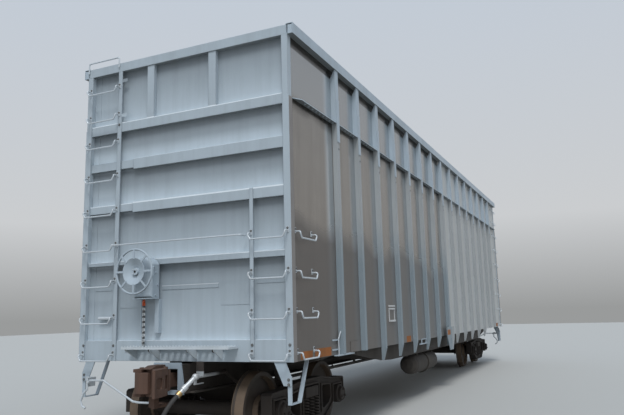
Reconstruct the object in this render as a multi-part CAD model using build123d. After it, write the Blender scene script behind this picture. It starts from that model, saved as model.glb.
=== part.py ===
from build123d import *
import math
import os

# High-sided open gondola wagon on two four-wheel trucks, standing on its wheel flanges.
# X runs along the wagon with the handbrake end at -X, Y is across and Z is up.
# End pieces are drawn at the handbrake end, called B, and turned half round for the other end, A.

os.makedirs("parts", exist_ok=True)

# Body: from the middle of the wagon, its centre line and the lowest points of the wheel flanges
half_length = 7445.0  # to the end face of the corner posts
sheet_half_width = 1540.0  # to the outer face of the side sheets
sill_z = 1095.0  # underside of the side and end sills
sheet_thick = 6.0
plate_thick = 8.0
tube_wall = 6.0
corner_size = 90.0  # square corner post
corner_wall = 8.0
corner_proud = 20.0  # corner post beyond the side sheet
upper_step = 10.0  # the upper length of a corner post stands this much further in

# Heights above the underside of the sill
end_sill_height = 248.0
lap_height = 912.0  # top of the doubled lower end sheet
waist_height = 3069.0
chord_bottom = 3834.0
chord_height = 134.0
rib_bands = ((1180.0, 1258.0), (1878.0, 2012.0), (2453.0, 2592.0))  # low edge, high edge
waist_beam = (2985.0, 3115.0)
floor_height = 62.0  # underside of the floor over the trucks
belly_depth = 250.0  # underside of the middle floor, below the sill

# Side posts
post_count = 15
post_pitch = 875.0
end_post = 1378.0  # from the end face to the first post, which stands off the pitch
post_depth = 72.0  # out from the sheet
post_face = 76.0
centre_post_face = 140.0
upper_post_face = 110.0
post_drop = 195.0  # how far the inner posts reach below the sill
short_posts = 2  # posts at each end that stop at the sill
foot_slant = 12.0
foot_depth = 22.0
upper_cut = 117.0  # slant at the top of the upper posts
strap_width = 80.0
strap_thick = 10.0
strap_below = 260.0
strap_above = 340.0
gusset_half = 325.0
gusset_drop = 300.0

# Waist rail and top chord
rail_width = 60.0
rail_height = 90.0
shelf_thick = 10.0
chord_overhang = 13.0  # beyond the faces of the posts
chord_width = 89.0
chord_wall = 8.0
end_tube_width = 80.0
end_tube_low = 14.0  # top of the end tube below the top of the chords

# Centre sill and floor
sill_half_width = 165.0
sill_web = 13.0
sill_top_z = 1070.0
sill_bottom_z = 735.0
sill_flange = (90.0, 16.0)  # width out from the web, thickness
side_sill_width = 126.0
side_sill_height = 120.0
floor_drop_start = 3250.0  # from the end face, where the floor slopes down
floor_drop_end = 3900.0
web_drop_start = 1755.0  # from the end face, where the side sill gets deeper
web_drop_middle = 3354.0
web_drop_end = 3854.0

# End wall, measured inward from the end face
rib_front = 12.0
end_sheet_depth = 70.0
lap_thick = 10.0
left_stile = (950.0, 1015.0)
right_stile = (-1060.0, -1011.0)
right_stile_height = (50.0, 2000.0)
notch_y = 739.0  # where the ribs step down beside the left stile
extension_post = (480.0, 112.0)  # distance from the centre line, width

# Ladders and grab irons
bar_size = 20.0
rung_standoff = 82.0
side_standoff = 75.0
rung_drop = 75.0
rung_pitch = 463.0
end_rung_span = (990.0, 1487.0)
end_grab_span = (-1515.0, -1036.0)
side_rung_span = (125.0, 570.0)  # from the end face
handrail_height = 1447.0
handrail_standoff = 115.0
top_grab_span = (1005.0, 1537.0)
top_grab_rise = 146.0  # above the middle of the end tube

# Draft gear
coupler_z = 901.0
pulling_face = 590.0  # out from the end face
coupler_half_height = 150.0
lug_height = 115.0  # inner faces of the knuckle lugs from the coupler's centre
pin_radius = 20.0
pin_set = (100.0, 122.0)  # knuckle pin behind the pulling face and left of the centre line
striker_out = 195.0
striker_thick = 28.0
slide_gap = 0.3  # clearance of faces that slide on each other

# Running gear
truck_inset = 1480.0  # from the end face to the centre of the truck
axle_spacing = 1778.0
axle_z = 482.0
tread_radius = 457.0
flange_height = 25.0
back_to_back = 1354.0
rim_width = 145.0
journal_y = 1003.0  # centre of a side frame
frame_thick = 140.0
bearing_radius = 127.0
axle_radius = 100.0
spring_radius = 50.0
spring_foot_z = 300.0
spring_height = 240.0
centre_plate_radius = 178.0
centre_plate_depth = 49.0

# Brake gear
wheel_y = 468.0
wheel_height = 1084.0
wheel_radius = 282.0
wheel_out = 252.0  # middle of the handwheel's rim, out from the end face
chain_bar = 14.0
chain_link = 60.0
pipe_size = 42.0
pipe_y = 330.0
pipe_end_z = 930.0
pipe_low_z = 712.0
hose_size = 51.0
tank_radius = 182.0
tank_half_length = 870.0
tank_x = -1205.0
deck_height = 150.0
deck_thick = 25.0

# Places that follow from the sizes above
top_z = sill_z + chord_bottom + chord_height
waist_z = sill_z + waist_height
chord_z = sill_z + chord_bottom
floor_z = sill_z + floor_height
belly_z = sill_z - belly_depth
inner_sheet = sheet_half_width - sheet_thick
web_in = inner_sheet - side_sill_width
post_half_width = sheet_half_width + post_depth
chord_half_width = post_half_width + chord_overhang
chord_inner_face = chord_half_width - chord_width
corner_half_width = sheet_half_width + corner_proud
corner_inner = corner_half_width - corner_size
sheet_end = half_length - corner_size
truck_centre = half_length - truck_inset
axle_offset = axle_spacing / 2
end_post_x = half_length - end_post
post_xs = [post_pitch * (n - (post_count - 1) / 2) for n in range(1, post_count - 1)]
post_xs = [-end_post_x] + post_xs + [end_post_x]
half_bar = bar_size / 2
parts = {}


def block(x0, x1, y0, y1, z0, z1):
    """Rectangular solid between two corners."""
    size = (abs(x1 - x0), abs(y1 - y0), abs(z1 - z0))
    return Pos((x0 + x1) / 2, (y0 + y1) / 2, (z0 + z1) / 2) * Box(*size)


def end_block(d0, d1, y0, y1, h0, h1):
    """Block at the B end: depth in from the end face and height above the sill."""
    return block(d0 - half_length, d1 - half_length, y0, y1, sill_z + h0, sill_z + h1)


def slab_xz(points, y0, y1):
    """Outline in the side view, given a thickness across the wagon."""
    face = make_face(Polyline(*[(x, 0, z) for x, z in points], close=True))
    return Pos(0, y0, 0) * extrude(face, amount=y1 - y0, dir=(0, 1, 0))


def slab_yz(points, x0, x1):
    """Outline in the end view, given a thickness along the wagon."""
    face = make_face(Polyline(*[(0, y, z) for y, z in points], close=True))
    return Pos(x0, 0, 0) * extrude(face, amount=x1 - x0, dir=(1, 0, 0))


def slab_xy(points, z0, z1):
    """Outline in plan, given a height."""
    face = make_face(Polyline(*[(x, y, 0) for x, y in points], close=True))
    return Pos(0, 0, z0) * extrude(face, amount=z1 - z0, dir=(0, 0, 1))


def bar(points, size):
    """Bar with bent corners along the points, eight-sided to keep its facets few."""
    path = Polyline(*points)
    start = Plane(origin=path @ 0, z_dir=path % 0)
    section = RegularPolygon(size / 2, 8, major_radius=False, rotation=22.5)
    return sweep(start * section, path=path, transition=Transition.RIGHT)


def across(radius, y0, y1, x, z):
    """Cylinder lying across the wagon."""
    return Pos(x, (y0 + y1) / 2, z) * Rot(90, 0, 0) * Cylinder(radius, abs(y1 - y0))


def along(radius, x0, x1, y, z):
    """Cylinder lying along the wagon."""
    return Pos((x0 + x1) / 2, y, z) * Rot(0, 90, 0) * Cylinder(radius, abs(x1 - x0))


def tube_yz(outline, wall, x0, x1):
    """Rectangular tube along the wagon, given as low y, high y, low z and high z."""
    y0, y1, z0, z1 = outline
    core = block(x0, x1, y0 + wall, y1 - wall, z0 + wall, z1 - wall)
    return block(x0, x1, y0, y1, z0, z1) - core


def half_turn(shape):
    """The same piece at the other end, turned half round about the vertical."""
    return shape.rotate(Axis.Z, 180)


def to_left(shape):
    """The same piece on the other side."""
    return shape.mirror(Plane.XZ)


def save(name, pieces):
    """Keep the solids of one sub-part."""
    solids = []
    for piece in pieces:
        solids.extend(piece.solids())
    parts[name] = Compound(children=solids)


def save_sides(name, pieces):
    """Keep a sub-part of the right side and its mirror image on the left."""
    save(name + "_right", pieces)
    save(name + "_left", [to_left(piece) for piece in pieces])


def save_ends(name, pieces):
    """Keep a sub-part of the B end and the same, turned half round, at the A end."""
    save(name + "_b", pieces)
    save(name + "_a", [half_turn(piece) for piece in pieces])


# Centre sill: a deep hat section that carries the couplers in its open ends
flange_out = sill_half_width + sill_flange[0]
flange_top = sill_bottom_z + sill_flange[1]
sill_half = [
    (sill_half_width - sill_web, sill_top_z - sill_web), (sill_half_width - sill_web, sill_bottom_z),
    (flange_out, sill_bottom_z), (flange_out, flange_top), (sill_half_width, flange_top),
    (sill_half_width, sill_top_z),
]
sill_section = sill_half + [(-y, z) for y, z in reversed(sill_half)]
sill_reach = half_length - rib_front
centre_sill = slab_yz(sill_section, -sill_reach, sill_reach)
centre_plate = Cylinder(centre_plate_radius, centre_plate_depth, align=(Align.CENTER, Align.CENTER, Align.MAX))
sill_inside = sill_half_width - sill_web
filler = block(-190, 190, -sill_inside, sill_inside, sill_bottom_z, sill_bottom_z + 120)
for side in (-1, 1):
    centre_sill = centre_sill + Pos(side * truck_centre, 0, 0) * filler
    centre_sill = centre_sill + Pos(side * truck_centre, 0, sill_bottom_z) * centre_plate
save("centre_sill", [centre_sill])

# Body bolsters over the trucks: box arms that rise toward the side sills, with a side bearing pad
side_bearing = (570.0, 700.0)  # inner and outer edge, from the centre line
side_bearing_z = 757.0
bolster_half = 150.0
arm = slab_yz(
    [(sill_half_width, flange_top + 60), (sill_half_width, floor_z), (web_in, floor_z), (web_in, sill_z),
     (side_bearing[1] + 480, sill_z - 90), (side_bearing[0] + 70, sill_z - 190)], -bolster_half, bolster_half)
arm = arm + block(-90, 90, side_bearing[0], side_bearing[1], side_bearing_z, sill_z - 180)
for tag, side in (("b", -1), ("a", 1)):
    save("body_bolster_" + tag, [Pos(side * truck_centre, 0, 0) * hand for hand in (arm, to_left(arm))])

# Cross ties under the middle floor, at every other pair of posts
tie = slab_yz(
    [(sill_half_width, belly_z - 60), (sill_half_width, belly_z), (web_in, belly_z), (web_in, belly_z - 18)],
    -tube_wall, tube_wall)
ties = []
for step in (-3, -1, 1, 3):
    ties.append(Pos(step * post_pitch, 0, 0) * tie)
save("cross_ties", ties + [to_left(piece) for piece in ties])

# Floor: high over the trucks, sloping to a low middle, with a hood over the centre sill
high_in = half_length - floor_drop_start
low_out = half_length - floor_drop_end
floor_reach = half_length - end_sheet_depth - sheet_thick
floor_half = [
    (0, belly_z), (low_out, belly_z), (high_in, floor_z), (floor_reach, floor_z),
    (floor_reach, floor_z + plate_thick), (high_in - 2, floor_z + plate_thick),
    (low_out - 2, belly_z + plate_thick), (0, belly_z + plate_thick),
]
floor_side = floor_half[1:-1] + [(-x, z) for x, z in reversed(floor_half[1:-1])]
pan = slab_xz(floor_side, sill_half_width, web_in)
spine = block(-floor_reach, floor_reach, -sill_half_width, sill_half_width, floor_z, floor_z + plate_thick)
hood = block(-floor_reach, floor_reach, sill_half_width - plate_thick, sill_half_width, sill_top_z, floor_z)
save("floor", [pan + to_left(pan) + spine + hood + to_left(hood)])

# Side sills: a tube along the bottom edge, with a web that hangs down between the trucks
web_outline = [
    (half_length - web_drop_start, sill_z + 3), (half_length - web_drop_start, sill_z),
    (half_length - web_drop_middle, belly_z + 26), (half_length - web_drop_end, belly_z),
]
web_points = web_outline + [(-x, z) for x, z in reversed(web_outline)]
sill_tube = tube_yz((-inner_sheet, -web_in, sill_z, sill_z + side_sill_height), tube_wall, -sheet_end, sheet_end)
save_sides("side_sill", [sill_tube + slab_xz(web_points, -web_in - tube_wall, -web_in)])

# Side sheets: one below the waist shelf and one above it
shelf_z = waist_z + shelf_thick
save_sides("side_sheet", [block(-sheet_end, sheet_end, -sheet_half_width, -inner_sheet, sill_z, waist_z)])
save_sides("upper_sheet", [block(-sheet_end, sheet_end, -sheet_half_width, -inner_sheet, shelf_z, chord_z)])

# Waist rail: a tube inside the sheets, under a shelf that passes out between them to the post faces
rail_in = inner_sheet - rail_width
rail = tube_yz((-inner_sheet, -rail_in, waist_z - rail_height, waist_z), tube_wall, -sheet_end, sheet_end)
shelf_half = [
    (sheet_end, -rail_in), (sheet_end, -sheet_half_width), (sheet_end - 40, -sheet_half_width),
    (sheet_end - 160, -post_half_width),
]
shelf_plan = shelf_half + [(-x, y) for x, y in reversed(shelf_half)]
save_sides("waist_rail", [rail + slab_xy(shelf_plan, waist_z, shelf_z)])


def lower_channel(x, face, drop):
    """Side post: a channel open toward the sheet, its foot cut back on a slant below the sill."""
    half = face / 2
    foot = sill_z - drop
    toe = sheet_half_width + foot_depth
    knee = sill_z - foot_slant if drop else sill_z
    outline = [(-sheet_half_width, waist_z), (-sheet_half_width, foot), (-toe, foot),
               (-post_half_width, knee), (-post_half_width, waist_z)]
    hollow = [(-sheet_half_width, waist_z), (-sheet_half_width, foot), (-toe + tube_wall, foot),
              (-post_half_width + tube_wall, knee), (-post_half_width + tube_wall, waist_z)]
    return slab_yz(outline, x - half, x + half) - slab_yz(hollow, x - half + tube_wall, x + half - tube_wall)


def upper_channel(x):
    """Upper post: a channel whose top is cut back on a slant under the top chord."""
    half = upper_post_face / 2
    outline = [(-sheet_half_width, chord_z - upper_cut), (-sheet_half_width, shelf_z), (-post_half_width, shelf_z),
               (-post_half_width, chord_z), (-post_half_width + plate_thick, chord_z)]
    hollow = [(-sheet_half_width, chord_z - upper_cut - 12), (-sheet_half_width, shelf_z),
              (-post_half_width + tube_wall, shelf_z), (-post_half_width + tube_wall, chord_z - 20)]
    return slab_yz(outline, x - half, x + half) - slab_yz(hollow, x - half + tube_wall, x + half - tube_wall)


# Posts below and above the waist, with a splice strap over each joint
lower_posts = []
upper_posts = []
strap_out = post_half_width + strap_thick
for n, x in enumerate(post_xs):
    from_end = min(n, post_count - 1 - n)
    drop = 0.0 if from_end < short_posts else post_drop
    face = centre_post_face if from_end == post_count // 2 else post_face
    lower_posts.append(lower_channel(x, face, drop))
    upper_posts.append(upper_channel(x))
    upper_posts.append(block(x - strap_width / 2, x + strap_width / 2, -strap_out, -post_half_width,
                             waist_z - strap_below, waist_z + strap_above))
gusset_plan = [
    (-gusset_half, sill_z + 180), (gusset_half, sill_z + 180), (gusset_half, sill_z - 40),
    (gusset_half - 175, sill_z - gusset_drop), (175 - gusset_half, sill_z - gusset_drop),
    (-gusset_half, sill_z - 40),
]
gusset = slab_xz(gusset_plan, -strap_out, -post_half_width)
gusset = gusset - block(-18, 18, -strap_out, -post_half_width, sill_z - 170, sill_z - 60)
save_sides("side_posts", lower_posts + [gusset])
save_sides("upper_posts", upper_posts)

# Top chords: square tubes along the sides, each end shut by a cap that leaves two slits
chord_section = (-chord_half_width, -chord_inner_face, chord_z, top_z)
chord = tube_yz(chord_section, chord_wall, -half_length, half_length)
cap = block(4 - half_length, 12 - half_length, chord_wall - chord_half_width, -chord_inner_face - chord_wall - 14,
            chord_z + chord_wall, top_z - chord_wall - 12)
save_sides("top_chord", [chord + cap + cap.mirror(Plane.YZ)])

# End sheet, doubled up to the lap
end_sheet = end_block(end_sheet_depth, end_sheet_depth + sheet_thick, -corner_inner, corner_inner,
                      plate_thick, chord_bottom)
end_sheet = end_sheet + end_block(end_sheet_depth - lap_thick, end_sheet_depth, -corner_inner, corner_inner,
                                  end_sill_height, lap_height)
save_ends("end_wall", [end_sheet])


def hollow_block(d0, d1, y0, y1, h0, h1, wall):
    """Channel across the end, open toward the end sheet."""
    core = end_block(d0 + wall, d1, y0 + wall, y1 - wall, h0 + wall, h1 - wall)
    return end_block(d0, d1, y0, y1, h0, h1) - core


# End framing: sill, ribs with a lower stub beside the ladder, waist beam, extension posts and top tube
end_sill = end_block(rib_front, rib_front + plate_thick, -corner_inner, corner_inner, 0, end_sill_height)
for low in (0, end_sill_height - plate_thick):
    end_sill = end_sill + end_block(rib_front + plate_thick, end_sheet_depth, -corner_inner, corner_inner,
                                    low, low + plate_thick)
framing = [end_sill]
stub_set = (12.0, 22.0, 8.0)  # stub set in, its low edge up and its high edge down
for low, high in rib_bands:
    rib = hollow_block(rib_front, end_sheet_depth, -corner_inner, notch_y, low, high, tube_wall)
    stub = hollow_block(rib_front + stub_set[0], end_sheet_depth, notch_y, corner_inner, low + stub_set[1],
                        high - stub_set[2], tube_wall)
    framing.append(rib + stub)
framing.append(hollow_block(rib_front, end_sheet_depth, -corner_inner, corner_inner, *waist_beam, tube_wall))
ext_y, ext_width = extension_post
for y in (-ext_y, ext_y):
    framing.append(hollow_block(rib_front, end_sheet_depth, y - ext_width / 2, y + ext_width / 2, waist_beam[1],
                                chord_bottom, tube_wall))
tube_top = chord_bottom + chord_height - end_tube_low
top_tube = end_block(0, end_tube_width, -chord_inner_face, chord_inner_face, chord_bottom, tube_top)
top_tube = top_tube - end_block(chord_wall, end_tube_width - chord_wall, chord_wall - chord_inner_face,
                                chord_inner_face - chord_wall, chord_bottom + chord_wall, tube_top - chord_wall)
framing.append(top_tube)
framing.append(end_block(0, rib_front, *left_stile, 0, chord_bottom))
framing.append(end_block(0, rib_front, *right_stile, *right_stile_height))
save_ends("end_frame", framing)

# Corner posts: square tubes in two lengths, the upper one a little narrower
lower_post = end_block(0, corner_size, -corner_half_width, -corner_inner, 0, waist_height)
lower_bore = end_block(corner_wall, corner_size - corner_wall, corner_wall - corner_half_width,
                       -corner_inner - corner_wall, 0, waist_height - corner_wall)
upper_post = end_block(0, corner_size, upper_step - corner_half_width, -corner_inner, waist_height, chord_bottom)
upper_bore = end_block(corner_wall, corner_size - corner_wall, upper_step + corner_wall - corner_half_width,
                       -corner_inner - corner_wall, waist_height, chord_bottom)
corner_post = (lower_post - lower_bore) + (upper_post - upper_bore)
corners = [corner_post, to_left(corner_post)]
save("corner_posts", corners + [half_turn(piece) for piece in corners])


def held_bar(line, feet):
    """Bent bar held off the wall: the bar itself and a straight foot behind each end."""
    return [bar(line, bar_size)] + [bar(foot, bar_size) for foot in feet]


def end_rung(span, height):
    """Drop rung on the end: its feet are bolted above the tread."""
    x_bar = -half_length - rung_standoff
    x_back = x_bar + half_bar
    z = sill_z + height
    y0, y1 = span
    top = z + rung_drop
    line = [(x_bar, y0, top + half_bar), (x_bar, y0, top - 30), (x_bar, y0 + 30, z), (x_bar, y1 - 30, z),
            (x_bar, y1, top - 30), (x_bar, y1, top + half_bar)]
    return held_bar(line, [((-half_length, y, top), (x_back, y, top)) for y in span])


def side_rung(height):
    """Drop rung on the side, near the end."""
    y_foot = -sheet_half_width
    y_bar = -sheet_half_width - side_standoff
    y_back = y_bar + half_bar
    z = sill_z + height
    x0, x1 = [d - half_length for d in side_rung_span]
    top = z + rung_drop
    line = [(x0, y_bar, top + half_bar), (x0, y_bar, top - 30), (x0 + 30, y_bar, z), (x1 - 30, y_bar, z),
            (x1, y_bar, top - 30), (x1, y_bar, top + half_bar)]
    return held_bar(line, [((x, y_foot, top), (x, y_back, top)) for x in (x0, x1)])


# Ladders and grabs on the end: a full ladder, a short column, a handrail and a grab over the end tube
end_bars = []
for height in [rung_pitch * n for n in range(7)] + [waist_height + 78, waist_height + rung_pitch + 10]:
    end_bars.extend(end_rung(end_rung_span, height))
for n in range(4):
    end_bars.extend(end_rung(end_grab_span, 20 + rung_pitch * n * 0.985))
rail_x = -half_length - handrail_standoff
rail_z = sill_z + handrail_height
rail_ends = ((left_stile[0] + half_bar, 0.0), (end_grab_span[1] + 84, rib_front))  # y, depth of its foot
end_bars.extend(held_bar(
    [(rail_x, rail_ends[0][0] + half_bar, rail_z), (rail_x, rail_ends[1][0] - half_bar, rail_z)],
    [((depth - half_length, y, rail_z), (rail_x + half_bar, y, rail_z)) for y, depth in rail_ends]))
grab_foot_z = chord_z + (chord_height - end_tube_low) / 2
grab_x = -half_length - half_bar
grab_top = grab_foot_z + top_grab_rise
g0, g1 = top_grab_span
end_bars.append(bar([(grab_x, g0, grab_foot_z), (grab_x, g0, grab_top - 30), (grab_x, g0 + 30, grab_top),
                     (grab_x, g1 - 30, grab_top), (grab_x, g1, grab_top - 30), (grab_x, g1, grab_foot_z)],
                    bar_size))
save_ends("end_ladders", end_bars)

# Side grabs at one corner and a full side ladder at the other
grabs = []
ladder = []
for n in range(4):
    grabs.extend(side_rung(20 + rung_pitch * n * 0.985))
for height in [rung_pitch * n for n in range(7)] + [waist_height + 130, waist_height + rung_pitch + 60]:
    ladder.extend(side_rung(height))
save_ends("side_ladders", grabs + [to_left(piece) for piece in ladder])

# Stirrups: a tapered hanger plate and a bent strap below each corner
step_drop = 460.0
step_width = 50.0
strap_gauge = 12.0
hanger_depth = 22.0
hanger_foot = 256.0
step_out = corner_inner + 42  # outer edge of the strap
hanger = slab_yz(
    [(172 - corner_inner, sill_z), (22 - corner_inner, sill_z), (-step_out, sill_z - 157),
     (-step_out, sill_z - hanger_foot), (95 - step_out, sill_z - hanger_foot)],
    hanger_depth - half_length, hanger_depth + 10 - half_length)
d0 = hanger_depth + 10
d1 = d0 + 240
step_line = [
    (d0, -150), (d0, -step_drop), (d1, -step_drop), (d1 + 220, 0), (d1 + 208, 0),
    (d1 - 6, strap_gauge - step_drop), (d0 + strap_gauge, strap_gauge - step_drop), (d0 + strap_gauge, -150),
]
step = slab_xz([(d - half_length, sill_z + h) for d, h in step_line], -step_out, step_width - step_out)
steps = [hanger, step, to_left(hanger), to_left(step)]
save("stirrups", steps + [half_turn(piece) for piece in steps])

# Uncoupling levers: a bent bar from a hooked handle to the coupler's lock lifter
lever_out = 117.0
lever_x = -half_length - lever_out
lever_size = 24.0
lifter_y = 190.0
lever_line = (  # across, height above the sill
    (1310, -572), (1362, -545), (1385, -484), (1347, -395), (1284, -338), (1287, -272), (1240, -232),
    (1028, -229), (560, -464), (471, -474), (lifter_y, -474),
)
lever = bar([(lever_x, y, sill_z + h) for y, h in lever_line], lever_size)
lever = lever + end_block(-lever_out, 12, 1278, 1292, -310, -200)
lever = lever + end_block(12, hanger_depth, 1278, 1440, -250, -200)
save("uncoupling_levers", [lever, half_turn(lever)])

# Coupler: head with its guard arm and knuckle lugs, shank, and the draft gear inside the centre sill
face_x = -half_length - pulling_face
low_z = coupler_z - coupler_half_height
high_z = coupler_z + coupler_half_height
head_plan = [  # behind the pulling face, to the left
    (300, -90), (215, -150), (60, -190), (-90, -215), (-100, -185), (10, -120), (60, -40), (70, 30),
    (170, 60), (190, 175), (260, 160), (300, 90),
]
head = slab_xy([(face_x + x, y) for x, y in head_plan], low_z, high_z)
core_hole = block(face_x - 55, face_x + 75, -230, -168, coupler_z - 60, coupler_z + 60)
core_hole = fillet(core_hole.edges().filter_by(Axis.Y), 28)
slot = block(face_x + 150, face_x + 215, -230, -125, coupler_z - 75, coupler_z + 75)
crown = slab_xz(
    [(face_x + 20, high_z), (face_x + 130, high_z + 34), (face_x + 285, high_z + 34), (face_x + 300, high_z)],
    -60, 60)
lug_plan = [(180, 40), (25, 70), (15, 175), (190, 185)]
lugs = slab_xy([(face_x + x, y) for x, y in lug_plan], low_z, high_z)
lugs = lugs - block(face_x, face_x + 200, 0, 200, coupler_z - lug_height, coupler_z + lug_height)
horn = block(face_x + 285, face_x + 320, -110, 110, coupler_z - 110, coupler_z + 130)
shank_reach = -half_length + 620
shank = block(face_x + 300, shank_reach, -65, 65, coupler_z - 80, coupler_z + 80)
gear_half = 125.0
draft_gear = block(shank_reach - 60, shank_reach + 560, -sill_inside, sill_inside, coupler_z - gear_half,
                   coupler_z + gear_half)
lifter_z = sill_z + lever_line[-1][1]
lifter = block(face_x + 150, face_x + 230, -20, 60, lifter_z, low_z)
lifter = lifter + block(lever_x - 30, lever_x + 30, -20, lifter_y, lifter_z - 14, lifter_z + 16)
lifter = lifter + block(face_x + 150, lever_x + 30, -20, 30, lifter_z - 14, lifter_z + 16)
pin_x = face_x + pin_set[0]
pin_y = pin_set[1]
pin = Pos(pin_x, pin_y, coupler_z) * Cylinder(pin_radius, 2 * coupler_half_height)
coupler = head - core_hole - slot + crown + lugs + horn + shank + draft_gear + lifter + pin
save_ends("coupler", [coupler])

# Knuckle: swings on the pin between the lugs
knuckle_plan = [  # behind the pulling face, to the left
    (158, 92), (80, 60), (62, 20), (60, -38), (20, -30), (-10, 10), (-18, 80), (2, 140), (60, 172),
    (130, 168), (158, 140),
]
knuckle_half = lug_height - slide_gap
knuckle = slab_xy([(face_x + x, y) for x, y in knuckle_plan], coupler_z - knuckle_half, coupler_z + knuckle_half)
knuckle = knuckle - Pos(pin_x, pin_y, coupler_z) * Cylinder(pin_radius + slide_gap, 3 * knuckle_half)
save_ends("knuckle", [knuckle])

# Striker: flared plate round the mouth of the centre sill, with cheeks back to the webs
mouth = (152.0, 115.0, 125.0)  # half width, below and above the coupler's centre
bell_x = -half_length - striker_out
bell = slab_yz(
    [(-190, sill_z), (190, sill_z), (228, sill_z - 245), (228, sill_bottom_z), (-228, sill_bottom_z),
     (-228, sill_z - 245)], bell_x, bell_x + striker_thick)
bell = bell - block(bell_x, bell_x + striker_thick, -mouth[0], mouth[0], coupler_z - mouth[1], coupler_z + mouth[2])
cheek = block(bell_x + striker_thick, -sill_reach, sill_inside, sill_half_width + 11, sill_bottom_z, sill_top_z)
roof = block(bell_x + striker_thick, -sill_reach, -sill_inside, sill_inside, sill_top_z - 30, sill_top_z)
striker = bell + cheek + to_left(cheek) + roof
save("strikers", [striker, half_turn(striker)])

# Brake platform: a grating of cross bars between edge strips, on brackets from the end sill
deck_right = -845.0
deck_left = 690.0
deck_out = 203.0
deck = end_block(-deck_out, rib_front, deck_right, deck_left, deck_height, deck_height + deck_thick)
grate_pitch = 91.0
grate_gap = 61.0
grate_count = int((deck_left - deck_right - 200) / grate_pitch)
grate_start = (deck_left + deck_right - grate_pitch * (grate_count - 1)) / 2
for n in range(grate_count):
    y = grate_start + n * grate_pitch
    deck = deck - end_block(rib_front - 30, 30 - deck_out, y - grate_gap / 2, y + grate_gap / 2, deck_height,
                            deck_height + deck_thick)
bracket_line = [(rib_front, 20), (rib_front, deck_height), (20 - deck_out, deck_height),
                (20 - deck_out, deck_height - 20)]
brackets = []
for y in (-634, -270, 270, 624):
    brackets.append(slab_xz([(d - half_length, sill_z + h) for d, h in bracket_line], y - 5, y + 5))
save("brake_platform", [deck] + brackets)

# Handbrake: gear housing with a domed top, its back bracket, a shaft and the chain's guide below
wheel_z = sill_z + wheel_height
housing_depth = 140.0
housing_half = 140.0
housing_y = wheel_y - 43
shoulder = 89.0  # heights of the housing from the middle of the handwheel
crest = 184.0
sole_drop = 320.0
housing_face = make_face(
    Polyline((-housing_half, shoulder), (-housing_half, -sole_drop), (housing_half, -sole_drop),
             (housing_half, shoulder))
    + ThreePointArc((housing_half, shoulder), (0, crest), (-housing_half, shoulder)))
wall_plane = Plane(origin=(-half_length, housing_y, wheel_z), x_dir=(0, -1, 0), z_dir=(-1, 0, 0))
housing = wall_plane * extrude(housing_face, amount=housing_depth)
housing_foot = wheel_height - sole_drop
front = housing.faces().sort_by(Axis.X)[0]
housing = fillet(front.edges(), 34)
sole = end_block(-housing_depth - 12, 0, housing_y - housing_half - 4, housing_y + housing_half + 4,
                 housing_foot - 14, housing_foot)
back = end_block(0, end_sheet_depth - lap_thick, housing_y - 90, housing_y + 90, housing_foot + 16, lap_height)
back = back + end_block(0, end_sheet_depth, housing_y - 90, housing_y + 90, lap_height, rib_bands[0][0])
dish_depth = 56.0  # back of the handwheel's hub behind the middle of its rim
shaft = along(32, dish_depth - half_length - wheel_out, 30 - half_length - housing_depth, wheel_y, wheel_z)
guide_low = 337.0
guide_lip = 62.0
guide_back = end_sheet_depth - lap_thick
guide_y = (housing_y - housing_half, housing_y + housing_half)
guide = end_block(0, rib_front, guide_y[0], guide_y[0] + guide_lip, guide_low, housing_foot - 14)
guide = guide + end_block(rib_front, guide_back, guide_y[0], guide_y[0] + 8, guide_low, housing_foot - 14)
far_guide = end_block(0, guide_back, guide_y[1] - 12, guide_y[1], guide_low, housing_foot - 14)
save("handbrake_housing", [housing + back + shaft + sole, guide, far_guide])

# Handwheel: dished centre, eight spokes and a rim
rim_size = 24.0
dish_radius = 165.0
spoke_width = 24.0
rim_middle = wheel_radius - rim_size / 2
rim_ring = revolve(Plane.XZ * Pos(rim_middle, 0) * RegularPolygon(rim_size / 2, 8, major_radius=False), Axis.Z)
dish_line = [(0, -dish_depth), (52, -dish_depth), (92, -36), (dish_radius, 4), (dish_radius, 14), (88, -26),
             (50, -42), (42, -14), (0, -14)]
dish = revolve(make_face(Polyline(*[(x, 0, z) for x, z in dish_line], close=True)), Axis.Z)
handwheel = rim_ring + dish
for n in range(8):
    spoke = Pos((dish_radius + rim_middle) / 2 - 6, 0, 10) * Box(rim_middle - dish_radius + 12, spoke_width, 8)
    handwheel = handwheel + Rot(0, 0, 45 * n) * spoke
wheel_plane = Plane(origin=(-half_length - wheel_out, wheel_y, wheel_z), z_dir=(-1, 0, 0))
save("handwheel", [wheel_plane * handwheel])

# Chain from the housing down to the platform: oval links, every other one turned a quarter
link_inside = chain_link - 2 * chain_bar
chain_pitch = link_inside - slide_gap
chain_x = -half_length - 60
chain_y = wheel_y - 2
half_width_of_link = 15.0
straight = chain_link / 2 - chain_bar / 2 - half_width_of_link
section = RegularPolygon(chain_bar / 2, 6, major_radius=False)
bend = revolve(Plane.XZ * Pos(half_width_of_link, 0) * section, Axis.Z, 180)
bend = Rot(90, 0, 0) * bend
leg_of_link = Pos(half_width_of_link, 0, 0) * extrude(section, amount=straight, both=True)
link = Pos(0, 0, straight) * bend + Pos(0, 0, -straight) * Rot(180, 0, 0) * bend
link = link + leg_of_link + leg_of_link.mirror(Plane.YZ)
chain_top = sill_z + housing_foot - 14
chain_low = sill_z + deck_height + deck_thick
link_count = int((chain_top - chain_low - chain_link) / chain_pitch) + 1
chain = []
for n in range(link_count):
    z = chain_top - slide_gap - chain_link / 2 - n * chain_pitch
    chain.append(Pos(chain_x, chain_y, z) * Rot(0, 0, 90 * (n % 2)) * link)
chain_end = chain_top - slide_gap - chain_link - (link_count - 1) * chain_pitch
chain.append(block(chain_x - 12, chain_x + 12, chain_y - 12, chain_y + 12, chain_low, chain_end - slide_gap))
save("brake_chain", chain)

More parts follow.
